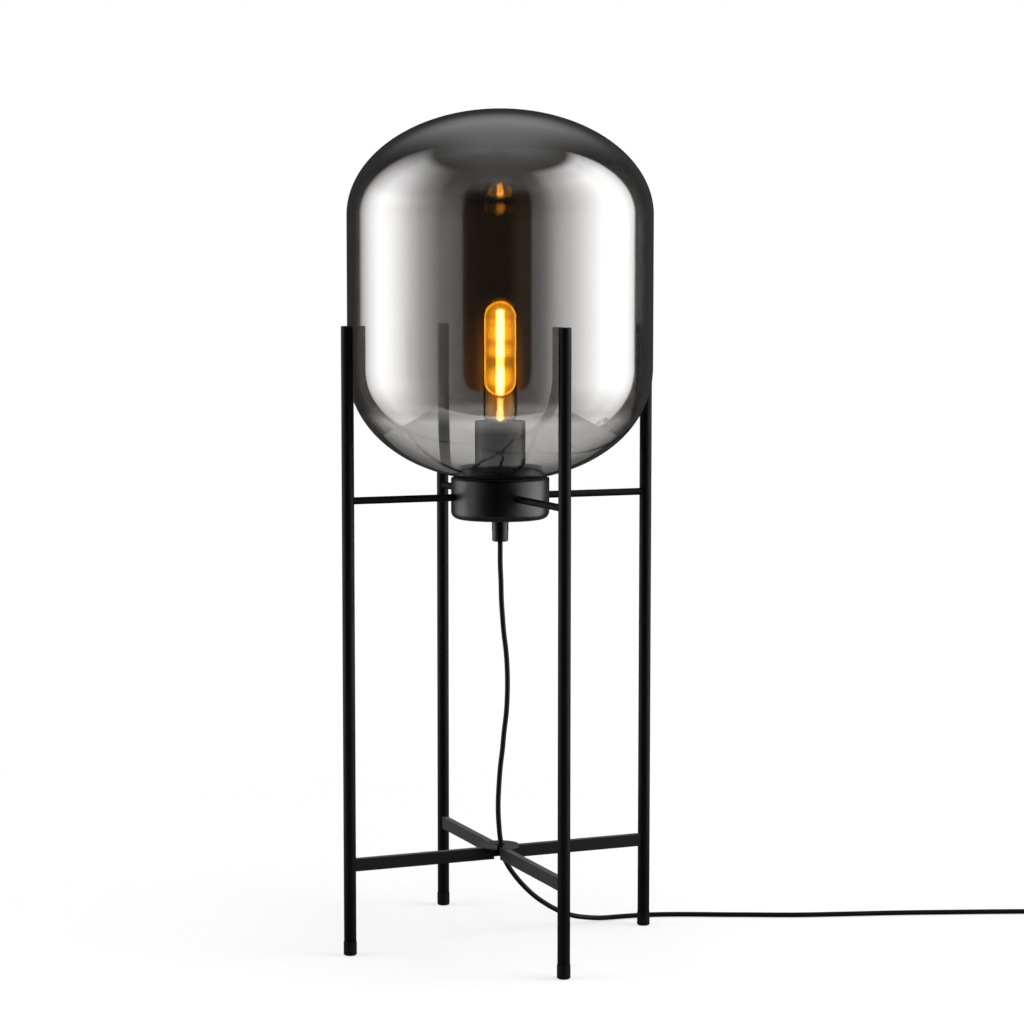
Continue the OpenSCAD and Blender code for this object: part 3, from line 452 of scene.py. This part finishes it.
FLOOR_R, FLOOR_SIDES, BELOW_MM = 1.05, 96, 0.2
sweep = bmesh.new()
bmesh.ops.create_circle(sweep, cap_ends=True, radius=FLOOR_R, segments=FLOOR_SIDES)
floor_data = bpy.data.meshes.new("floor")
sweep.to_mesh(floor_data)
sweep.free()
floor = bpy.data.objects.new("floor", floor_data)
floor.location.z = -BELOW_MM * MM
bpy.context.collection.objects.link(floor)
print("floor radius, metres", FLOOR_R)

# %% What mirrors see of the paper
SHEET_SIDE, SHEET_FRONT = 0.56, 0.46
PAINTED_SHEET_LIGHT = (0.2, SHEET_FRONT, 0.16, 0.85)


def place_in(tree):
    """The point that is shaded, in metres, in the object's own frame."""
    return add(tree, "ShaderNodeTexCoord").outputs["Object"]


paper, tree = new_material("white_sweep_paper")
spot = place_in(tree)
off_x = calc(tree, "ABSOLUTE", dot(tree, spot, right))
off_y = dot(tree, spot, near)
past_x = calc(tree, "GREATER_THAN", off_x, SHEET_SIDE)
past_y = calc(tree, "GREATER_THAN", off_y, SHEET_FRONT)
past = calc(tree, "MAXIMUM", past_x, past_y)
# Painted light: the sheet's own light, brighter towards its front edge and dimmer near the lamp's
# foot, where shade would fall
shade = fit(tree, off_y, *PAINTED_SHEET_LIGHT)
sheet = add(tree, "ShaderNodeEmission", {"Color": linear("#ffffff"), "Strength": shade})
gone = add(tree, "ShaderNodeBsdfTransparent")
sheet = either(tree, past, sheet, gone)
print("sheet, metres to its side and front edges", SHEET_SIDE, SHEET_FRONT)

# %% What the camera and plain faces see of it
PLAIN_R, FADED_R, OWN_LIGHT = 0.35, 1.0, 0.6
away = add(tree, "ShaderNodeVectorMath", {0: spot}, operation="LENGTH").outputs["Value"]
fade = fit(tree, away, PLAIN_R, FADED_R, eased=True)
shaded = add(tree, "ShaderNodeBsdfDiffuse", {"Color": linear("#8a8a8a")})
own = add(tree, "ShaderNodeEmission", {"Color": linear("#ffffff"), "Strength": OWN_LIGHT})
shown = add(tree, "ShaderNodeAddShader", {0: shaded, 1: own})
blank = add(tree, "ShaderNodeEmission", {"Color": linear("#ffffff"), "Strength": 1.0})
shown = either(tree, fade, shown, blank)
plain = add(tree, "ShaderNodeBsdfDiffuse", {"Color": linear("#e6e6e6")})
path = add(tree, "ShaderNodeLightPath")
bounced = calc(tree, "GREATER_THAN", path.outputs["Glossy Depth"], 0.5)
seen = calc(tree, "MAXIMUM", path.outputs["Is Camera Ray"], path.outputs["Is Transmission Ray"])
mixed = either(tree, seen, plain, shown)
mixed = either(tree, bounced, mixed, sheet)
add(tree, "ShaderNodeOutputMaterial", {"Surface": mixed})
floor_data.materials.append(paper)
print("paper nodes", len(tree.nodes))

# %% [markdown]
# ## Lamps
# Three large lamps light the plain faces and give the floor its soft shadows: one in each soft box,
# and one overhead. Glass and mirrors don't see them, because the painted boxes already stand in the
# same places.


# %% Lamps
AIM = Vector((0, 0, 0.4))
BOX_ASIDE, BOX_NEAR, BOX_UP, BOX_SIZE = 2.0, 0.5, 1.3, 1.4
TOP_AT, TOP_SIZE = Vector((0.1, -0.3, 2.6)), 1.8
LEFT_WATTS, RIGHT_WATTS, TOP_WATTS = 26, 34, 30


def soft_box(name, where, size, watts):
    """A square area lamp that faces the middle of the floor lamp."""
    data = bpy.data.lights.new(name, "AREA")
    data.size, data.energy = size, watts
    made = bpy.data.objects.new(name, data)
    bpy.context.collection.objects.link(made)
    made.location = where
    made.rotation_mode = "QUATERNION"
    made.rotation_quaternion = (AIM - where).to_track_quat("-Z", "Y")
    made.visible_glossy = made.visible_transmission = False


between = BOX_NEAR * near + Vector((0, 0, BOX_UP))
soft_box("box_left", between - BOX_ASIDE * right, BOX_SIZE, LEFT_WATTS)
soft_box("box_right", between + BOX_ASIDE * right, BOX_SIZE, RIGHT_WATTS)
soft_box("box_top", TOP_AT, TOP_SIZE, TOP_WATTS)

# %% [markdown]
# ## The glass barrel
# The shade is blown in a mould: a straight wall, a flat dome, and a deep bowl that narrows to the
# mouth, where the edge is melted round. The wall is 3 mm thick. A solid wall with an inner and an
# outer face bends and mirrors light twice, as the real one does, so its outline is turned about the
# axis as one closed skin, with many more sides than the CAD solid needs. A single sheet with a
# thickness modifier would give the same, but its round edge at the mouth would be harder to place.


# %% Turn an outline into a solid
ON_AXIS = 1e-6


def lathe(name, outline, body, sides=192):
    """A surface of revolution about the lamp's axis from (radius, height) pairs in millimetres."""
    mesh, rings = bmesh.new(), []
    for r, z in outline:
        if r < ON_AXIS:
            rings.append([mesh.verts.new((0, 0, z * MM))])
        else:
            rings.append([mesh.verts.new((r * MM * math.cos(a), r * MM * math.sin(a), z * MM))
                          for a in (2 * math.pi * k / sides for k in range(sides))])
    closed = outline[0][0] > ON_AXIS and outline[-1][0] > ON_AXIS
    for low, high in zip(rings, rings[1:] + (rings[:1] if closed else [])):
        for k in range(sides):
            j = (k + 1) % sides
            corners = [low[k % len(low)], low[j % len(low)], high[j % len(high)],
                       high[k % len(high)]]
            corners = [v for i, v in enumerate(corners) if v not in corners[:i]]
            if len(corners) > 2:
                mesh.faces.new(corners)
    bmesh.ops.recalc_face_normals(mesh, faces=mesh.faces)
    return new_object(name, mesh, body)


def quarter(wide, tall, power, end_r, z, way, steps=72):
    """Quarter of a rounded outline, from its widest point to where its radius is end_r."""
    last = math.acos((end_r / wide) ** (power / 2))
    turns = [last * k / steps for k in range(steps + 1)]
    return [(wide * max(math.cos(t), 0) ** (2 / power),
             z + way * tall * math.sin(t) ** (2 / power)) for t in turns]


WALL, MOUTH_R, LIP_R, BOWL_H, DOME_H, BOWL_POWER = 3.0, 38.5, 0.9, 102.5, 93.9, 2.1
base_low, dome_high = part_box("glass_base")[0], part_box("glass_dome")[1]
SHADE_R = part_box("glass_wall")[1].y / MM
LOW_Z = base_low.z / MM + BOWL_H * (1 - (MOUTH_R / SHADE_R) ** BOWL_POWER) ** (1 / BOWL_POWER)
HIGH_Z = dome_high.z / MM - DOME_H
print("shade radius and curve heights, mm", round(SHADE_R, 2), round(LOW_Z, 1), round(HIGH_Z, 1))


# %% Barrel
def barrel_outline(inset):
    """The barrel's outline from the mouth up, moved inwards by some millimetres."""
    r = SHADE_R - inset
    bowl = quarter(r, BOWL_H - inset, BOWL_POWER, MOUTH_R + LIP_R, LOW_Z, -1)[::-1]
    return bowl + quarter(r, DOME_H - inset, 2, 0, HIGH_Z, 1)


outer, inner = barrel_outline(0), barrel_outline(WALL)
edge_r = (inner[0][1] - outer[0][1]) / 2
LIP_STEPS = 8
lip = [(outer[0][0] - LIP_R * math.sin(a), outer[0][1] + edge_r * (1 - math.cos(a)))
       for a in (math.pi * k / LIP_STEPS for k in range(1, LIP_STEPS))]
barrel = lathe("smoked_glass_barrel", inner[::-1] + lip[::-1] + outer, "shade")
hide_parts("glass_base", "glass_wall", "glass_dome")
print("barrel faces", len(barrel.data.polygons))

# %% [markdown]
# ## Smoked glass
# The real one is clear soda-lime glass with a vapour-coated grey metal film. The eye gets a grey
# look through, a mirror stronger than bare glass has, and a dark line round the outline, where it
# looks along the wall. The film stops low in the bowl, so the socket shows through clear glass, and
# it is densest on the dome. IOR 1.5 is that of window glass. A coat with an IOR of 2 stands for the
# film's mirror. Lamps may shine through, because a glass shadow would take far too long to render.

# %% Glass that lets the lamps' light pass
WINDOW_IOR, FILM_IOR = 1.5, 2.0


def glass(name, tint, shadow, coat=0.0, coat_ior=WINDOW_IOR):
    """Glass that bends what is behind it: the material, its nodes, the shader and the mix."""
    made, tree = new_material(name)
    body = add(tree, "ShaderNodeBsdfPrincipled", {
        "Base Color": tint, "Roughness": 0.0, "IOR": WINDOW_IOR, "Transmission Weight": 1.0,
        "Coat Weight": coat, "Coat Roughness": 0.0, "Coat IOR": coat_ior})
    clear = add(tree, "ShaderNodeBsdfTransparent", {"Color": shadow})
    path = add(tree, "ShaderNodeLightPath")
    mixed = add(tree, "ShaderNodeMixShader", {0: path.outputs["Is Shadow Ray"], 1: body,
                                              2: clear})
    add(tree, "ShaderNodeOutputMaterial", {"Surface": mixed})
    return made, tree, body, mixed


def height_in(tree):
    """The height above the floor, in metres, of the point that is shaded."""
    return add(tree, "ShaderNodeSeparateXYZ", {0: place_in(tree)}).outputs["Z"]


print("glass and height helpers ready")

# %% Smoke by height, and by slant
FILM_FROM, FILM_FULL, DENSE_FROM, DENSE_FULL = 475, 486, 650, 720
SLANT_POWER = 5.0
smoked, tree, body, mixed = glass("smoked_soda_lime_glass", linear("#959391"), linear("#c4c2c0"),
                                  coat=1.0, coat_ior=FILM_IOR)
tall = height_in(tree)
film = fit(tree, tall, FILM_FROM * MM, FILM_FULL * MM, eased=True)
dense = fit(tree, tall, DENSE_FROM * MM, DENSE_FULL * MM)
smoke = blend(tree, dense, linear("#a09d9a"), linear("#615e5c"))
tint = blend(tree, film, linear("#eeedea"), smoke)
facing = add(tree, "ShaderNodeLayerWeight", {"Blend": 0.5}).outputs["Facing"]
slant = calc(tree, "MULTIPLY", calc(tree, "POWER", facing, SLANT_POWER), film)
thick = blend(tree, slant, linear("#ffffff"), linear("#6a6866"))
tint = blend(tree, 1.0, tint, thick, "MULTIPLY")
tree.links.new(tint, body.inputs["Base Color"])
print("film from", FILM_FROM, "mm, densest from", DENSE_FULL, "mm")

# %% Dark outline
# Painted shade: seen along the wall, the glass gives way to a dark matt grey, standing in for the
# dark studio that it mirrors there; nearly all of it under the film, less so in the clear bowl
RIM_FROM, RIM_FULL, IN_BOWL, IN_FILM = 0.62, 0.88, 0.4, 0.96
most = fit(tree, film, 0.0, 1.0, IN_BOWL, IN_FILM)
painted_rim_share = fit(tree, facing, RIM_FROM, RIM_FULL, 0.0, most, eased=True)
painted_dark_rim = add(tree, "ShaderNodeBsdfDiffuse", {"Color": linear("#1e1e1e")})
ringed = either(tree, painted_rim_share, body, painted_dark_rim)
tree.links.new(ringed, mixed.inputs[1])
barrel.data.materials.append(smoked)
print("smoked glass nodes", len(tree.nodes))

# %% [markdown]
# ## The bulb
# A tubular bulb is drawn from thin glass, rounded at its end and sealed on a glass stem. It is
# dipped in amber lacquer, which thins out at the neck. The eye gets a warm body of light with a
# fine bright outline. It is turned from its outline as the shade is.

# %% Bulb glass
BULB_R, BULB_WALL, NECK_R, SHOULDER_H, LACQUER_H = 15.0, 0.8, 12.5, 7, 30
SHOULDER_STEPS, ROUND_STEPS, BULB_SIDES = 10, 40, 96
rim_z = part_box("bulb_cap")[1].z / MM
top_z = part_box("bulb_glass")[1].z / MM
foot_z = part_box("bulb_glass")[0].z / MM


def bulb_outline(inset):
    """The bulb's outline from its foot up, moved inwards by some millimetres."""
    r = BULB_R - inset
    shoulder = [(NECK_R - inset + (BULB_R - NECK_R) * ease(k / SHOULDER_STEPS),
                 rim_z + SHOULDER_H * k / SHOULDER_STEPS) for k in range(SHOULDER_STEPS + 1)]
    dome = [(r * math.cos(a), top_z - BULB_R + r * math.sin(a))
            for a in (math.pi / 2 * k / ROUND_STEPS for k in range(ROUND_STEPS))]
    return [(NECK_R - inset, foot_z)] + shoulder + dome + [(0, top_z - inset)]


tube_glass = lathe("amber_bulb_tube", bulb_outline(BULB_WALL)[::-1] + bulb_outline(0), "bulb",
                   BULB_SIDES)
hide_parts("bulb_glass")
amber, tree, body, _ = glass("amber_lacquered_bulb_glass", linear("#fbc465"), linear("#ffe3b4"))
lacquer = fit(tree, height_in(tree), rim_z * MM, (rim_z + LACQUER_H) * MM, eased=True)
tint = blend(tree, lacquer, linear("#f6e6d0"), linear("#fbc465"))
tree.links.new(tint, body.inputs["Base Color"])
tube_glass.data.materials.append(amber)
print("bulb from", round(foot_z, 1), "to", round(top_z, 1), "mm")


# %% Noise with a real size
# Nearly all of it lies between these two values
NOISE_LOW, NOISE_HIGH = 0.3, 0.7


def grain_at(tree, size_mm, detail=2.0):
    """Noise whose bumps are about size_mm across, read in the lamp's own frame."""
    return add(tree, "ShaderNodeTexNoise", {
        "Vector": place_in(tree), "Scale": 1 / (size_mm * MM), "Detail": detail}).outputs["Fac"]


# %% Stem
# The stem is clear glass pressed while hot: its uneven skin gives small wandering glints
RIPPLE_MM = 6.0
stem, tree, body, _ = glass("pressed_clear_stem_glass", linear("#f3efe6"), linear("#f0ece4"))
tint = blend(tree, grain_at(tree, RIPPLE_MM), linear("#f6f2ea"), linear("#ece5d6"))
tree.links.new(tint, body.inputs["Base Color"])
nodes["bulb_stem"].data.materials.clear()
nodes["bulb_stem"].data.materials.append(stem)
print("stem ripples, mm", RIPPLE_MM)

# %% Sticks
# They are coated with yellow phosphor: lit, they are only light, a little uneven along each stick.
# Looked at straight on they would be one flat white band, so they are dimmer there than in glints
UNEVEN_MM, DIM_STICK, BRIGHT_STICK, HEAD_ON = 3.0, 135.0, 165.0, 0.045
glowing, tree = new_material("glowing_filament_phosphor")
power = fit(tree, grain_at(tree, UNEVEN_MM), NOISE_LOW, NOISE_HIGH, DIM_STICK, BRIGHT_STICK)
glinting = calc(tree, "MINIMUM", add(tree, "ShaderNodeLightPath").outputs["Glossy Depth"], 1.0)
power = calc(tree, "MULTIPLY", power, fit(tree, glinting, 0.0, 1.0, HEAD_ON, 1.0))
light = add(tree, "ShaderNodeEmission", {"Color": linear("#ffdf9e"), "Strength": power})
add(tree, "ShaderNodeOutputMaterial", {"Surface": light})
sticks = nodes["bulb_filaments"]
sticks.data.materials.clear()
sticks.data.materials.append(glowing)
sticks.visible_diffuse = False
fil_low, fil_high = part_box("bulb_filaments")
print("filaments", round((fil_high.z - fil_low.z) / MM, 1), "mm long")

# %% [markdown]
# ## The glow
# The sticks are far brighter than anything else, and a camera sees their light spread inside the
# tube. Fog in the tube would do that, but slowly and with noise. A thin skin of painted light is
# quicker: it adds most where the eye looks through its middle, and fades to its sides. One skin is
# the white-hot core, one fills the tube with amber and paints a bright outline round it, a painted
# highlight, and two small ones paint light on the stem and the neck.


# %% A column of light
END_STEPS, COLUMN_SIDES, PAINTED_OUTLINE_POWER = 12, 64, 5.0
RUNG_MM, RUNG_FROM, RUNG_FULL = 14, 0.35, 0.62


def glow(name, r, low, high, colour, strength, power, edge=0.0, dimmest=1.0):
    """A column of painted light: strongest through its middle, uneven along its height, with a
    painted bright outline as strong as edge.
    """
    bend = [math.pi / 2 * k / END_STEPS for k in range(END_STEPS + 1)]
    column = [(r * math.sin(a), low + r - r * math.cos(a)) for a in bend]
    column += [(r * math.cos(a), high - r + r * math.sin(a)) for a in bend[:-1]] + [(0, high)]
    made = lathe(name, column, "bulb", COLUMN_SIDES)
    haze, tree = new_material(name + "_light")
    facing = add(tree, "ShaderNodeLayerWeight", {"Blend": 0.5}).outputs["Facing"]
    strong = calc(tree, "POWER", fit(tree, facing, 1.0, 0.0), power)
    strong = calc(tree, "MULTIPLY", strong, strength)
    rung = add(tree, "ShaderNodeCombineXYZ", {"Z": height_in(tree)})
    rung = add(tree, "ShaderNodeTexNoise", {"Vector": rung, "Scale": 1 / (RUNG_MM * MM),
                                            "Detail": 1.0}).outputs["Fac"]
    strong = calc(tree, "MULTIPLY", strong, fit(tree, rung, RUNG_FROM, RUNG_FULL, dimmest, 1.0))
    # Painted highlight: a bright outline where the eye looks along the skin
    outline = calc(tree, "POWER", facing, PAINTED_OUTLINE_POWER)
    strong = calc(tree, "MULTIPLY_ADD", outline, edge, strong)
    light = add(tree, "ShaderNodeEmission", {"Color": linear(colour), "Strength": strong})
    clear = add(tree, "ShaderNodeBsdfTransparent")
    both = add(tree, "ShaderNodeAddShader", {0: light, 1: clear})
    add(tree, "ShaderNodeOutputMaterial", {"Surface": both})
    made.data.materials.append(haze)
    made.visible_diffuse = made.visible_shadow = False


low_z, high_z = fil_low.z / MM - 3, fil_high.z / MM + 2
glow("filament_glow", 9.0, low_z - 4, high_z + 4, "#fff2ff", strength=75.0, power=32.0,
     dimmest=0.12)
glow("bulb_glow", 14.0, low_z + 1, high_z + 5, "#ffdf56", strength=3.1, power=2.5, edge=9.0,
     dimmest=0.25)
glow("stem_glow", 3.4, rim_z, low_z, "#fff8b8", strength=3.0, power=3.0)
glow("neck_glow", 11.0, rim_z + 1, low_z + 12, "#ffc878", strength=0.45, power=1.0)
print("glow column", round(high_z - low_z, 1), "mm")

# %% Light of the bulb
BULB_WATTS, SOURCE_R = 2.5, 10
bulb_light = bpy.data.objects.new("bulb_light", bpy.data.lights.new("bulb_light", "POINT"))
bulb_light.data.energy, bulb_light.data.shadow_soft_size = BULB_WATTS, SOURCE_R * MM
bulb_light.data.color = linear("#ffb45e")[:3]
bulb_light.location = (0, 0, (low_z + high_z) / 2 * MM)
bpy.context.collection.objects.link(bulb_light)
bulb_light.visible_glossy = bulb_light.visible_transmission = False
print("bulb light, watts", bulb_light.data.energy)

# %% [markdown]
# ## Finishes
# The legs, arms and cross are steel with black powder baked on. The rest is moulded plastic, rubber
# and small metal parts. No real surface is one even colour: each finish below has two close tones
# that drift over about 22 mm, a roughness that drifts with them, and a fine bump. Real orange peel
# is about 0.5 mm from bump to bump and plating is finer still. At one pixel for each millimetre
# that can't show, so both are drawn a little coarser, at 0.5 to 1.5 mm. Metals keep the usual IOR
# and take their look from colour.


# %% A coat with a fine skin
DRIFT_MM, ROUGH_SWING, BUMP_STRENGTH, DUST_ROUGHNESS = 22.0, 0.08, 0.6, 0.4


def coated(name, first, second, roughness, metallic=0.0, shine=0.5, grain_mm=0.8, depth_mm=0.01,
           sheen=0.0):
    """A surface whose colour and roughness vary a little, with a fine bump."""
    made, tree = new_material(name)
    drift = grain_at(tree, DRIFT_MM, detail=4.0)
    rough = fit(tree, drift, NOISE_LOW, NOISE_HIGH, roughness - ROUGH_SWING,
                roughness + ROUGH_SWING)
    tone = blend(tree, drift, linear(first), linear(second))
    bump = add(tree, "ShaderNodeBump", {
        "Height": grain_at(tree, grain_mm), "Distance": depth_mm * MM, "Strength": BUMP_STRENGTH})
    body = add(tree, "ShaderNodeBsdfPrincipled", {
        "Base Color": tone, "Roughness": rough, "Metallic": metallic,
        "Specular IOR Level": shine, "Sheen Weight": sheen, "Sheen Roughness": DUST_ROUGHNESS,
        "Normal": bump})
    add(tree, "ShaderNodeOutputMaterial", {"Surface": body})
    return made


# %% Coats of the frame
finishes = {
    # Powder baked on tube: deep black, with one soft highlight along each leg, broken by its skin
    "powder_coat": coated("black_powder_coated_steel", "#030303", "#060606", 0.45, shine=0.08),
    # The same powder on flat bar: black when faced, and dusty dark grey when seen along the bar
    "bar_coat": coated("black_powder_coated_flat_bar", "#020202", "#050505", 0.4, shine=0.2,
                       sheen=0.12),
    # The same powder on punched sheet, painted paler than the rest because it lies flat to the
    # light: painted light, the palest black here
    "disc_coat_painted_light": coated("black_powder_coat_painted_paler", "#2c2c2c", "#333333", 0.5, shine=0.2),
    # A flatter powder on spun steel: broad grey highlights wrap round the collar
    "collar_coat": coated("flat_black_powder_coat", "#030303", "#060606", 0.34, shine=0.36,
                          grain_mm=0.6),
    # Caps and feet moulded in polyethylene: a waxy black without a clear highlight
    "black_plastic": coated("black_moulded_polyethylene", "#070707", "#0a0a0a", 0.45, shine=0.12,
                            grain_mm=1.2),
    # Nylon moulded in a polished mould: a short bright highlight on the cord grip
    "grip_plastic": coated("black_polished_nylon", "#060606", "#090909", 0.3, shine=0.22,
                           grain_mm=1.5, depth_mm=0.004),
    # Switch and plug moulded in nylon with a spark-eroded skin: satin black, softly lit edges
    "satin_plastic": coated("black_satin_nylon", "#0c0c0c", "#121212", 0.36, grain_mm=1.0),
    # Phenolic resin pressed while hot: brown-black, with the hard shine of its steel mould
    "phenolic": coated("brown_black_phenolic_resin", "#1c1613", "#241b16", 0.3, grain_mm=1.0),
    # Extruded soft PVC: satin, a little waxy, and paler where it turns to the light
    "pvc": coated("black_pvc_cord_sheath", "#060606", "#0a0a0a", 0.42, shine=0.12, grain_mm=1.0),
    # Moulded silicone: matt, and slightly dusty
    "gasket": coated("black_silicone_rubber", "#070707", "#0b0b0b", 0.7, shine=0.2, grain_mm=0.7),
}
print("dark finishes", len(finishes))

# %% Metals and wires
finishes.update({
    # Zinc plated in a barrel: cool grey, softly mirrored, and cloudy from piece to piece
    "zinc": coated("zinc_plated_steel", "#b9b8b2", "#a8a7a2", 0.34, 1.0, grain_mm=0.5,
                   depth_mm=0.004),
    # Brass turned on a lathe: warm yellow with a bright, slightly streaked shine
    "brass": coated("turned_brass", "#c9a050", "#b88f45", 0.28, 1.0, grain_mm=0.6, depth_mm=0.003),
    # Thin brass pressed into a thread: brighter, because the press polishes it
    "bulb_cap_metal": coated("pressed_brass_cap", "#c9a25c", "#bb9450", 0.25, 1.0, depth_mm=0.003),
    # Solder that set as a blob: grey, dull and a little lumpy
    "solder": coated("tin_lead_solder", "#a9a8a4", "#979691", 0.4, 1.0, grain_mm=1.2,
                     depth_mm=0.02),
    # Drawn nickel wire: thin grey lines with a sharp glint along them
    "wire": coated("drawn_nickel_wire", "#8f8c88", "#7d7a76", 0.3, 1.0, grain_mm=0.5,
                   depth_mm=0.002),
    # Nickel plated on turned brass: the smoothest metal here, nearly a mirror
    "pin_metal": coated("nickel_plated_pin", "#c8c6c0", "#b9b7b1", 0.18, 1.0, grain_mm=0.6,
                        depth_mm=0.002),
    # Extruded hard PVC round the wires: a shiny brown and a shiny blue, as the wiring code asks
    "core_brown": coated("brown_pvc_core", "#5a3418", "#63391b", 0.4, grain_mm=1.0),
    "core_blue": coated("blue_pvc_core", "#1d4c9c", "#2152a5", 0.4, grain_mm=1.0),
})
print("finishes", len(finishes))

# %% Dress the CAD pieces
slot_of = {row["node"]: row["material_slot"] for row in frame["record"]["subparts"]}
bars = [name for name in nodes if name.startswith("brace_")]
moulded = ["switch_base", "switch_cover", "switch_rocker", "switch_boots", "plug_body"]
slot_of.update(dict.fromkeys(bars, "bar_coat"), cord_disc="disc_coat_painted_light", seat_plate="powder_coat")
slot_of.update(dict.fromkeys(moulded, "satin_plastic"))
for name, piece in nodes.items():
    finish = finishes.get(slot_of[name])
    if finish is not None and not piece.hide_render:
        piece.data.materials.clear()
        piece.data.materials.append(finish)
for piece in (flex, spare):
    piece.data.materials.append(finishes["pvc"])
print("dressed", len([p for p in nodes.values() if not p.hide_render]))

# %% [markdown]
# ## Broken edges
# No real edge is perfectly sharp: powder rounds the edges of the flat bars by about half a
# millimetre, and the moulds of the switch and plug are rounded too. A bevel modifier adds that
# without changing the CAD mesh, and its small faces catch the light along each edge.


# %% Bevels
BAR_EDGE, MOULDED_EDGE, ROCKER_EDGE, SHARP = 0.5, 0.6, 0.25, math.radians(40)


def break_edges(names, width_mm):
    """Rounds the sharp edges of some pieces."""
    for name in names:
        bevel = nodes[name].modifiers.new("broken_edge", "BEVEL")
        bevel.width, bevel.segments = width_mm * MM, 2
        bevel.limit_method, bevel.angle_limit = "ANGLE", SHARP


break_edges(bars, BAR_EDGE)
break_edges(["switch_base", "switch_cover", "plug_body"], MOULDED_EDGE)
break_edges(["switch_rocker"], ROCKER_EDGE)
print("bevelled", len([n for n in nodes if nodes[n].modifiers]))

# %% [markdown]
# ## Last step
# A dressed model may not outgrow its CAD model, or it would no longer fit where the part goes. Here
# the view layer is updated once more.

# %% Update the scene
bpy.context.view_layer.update()
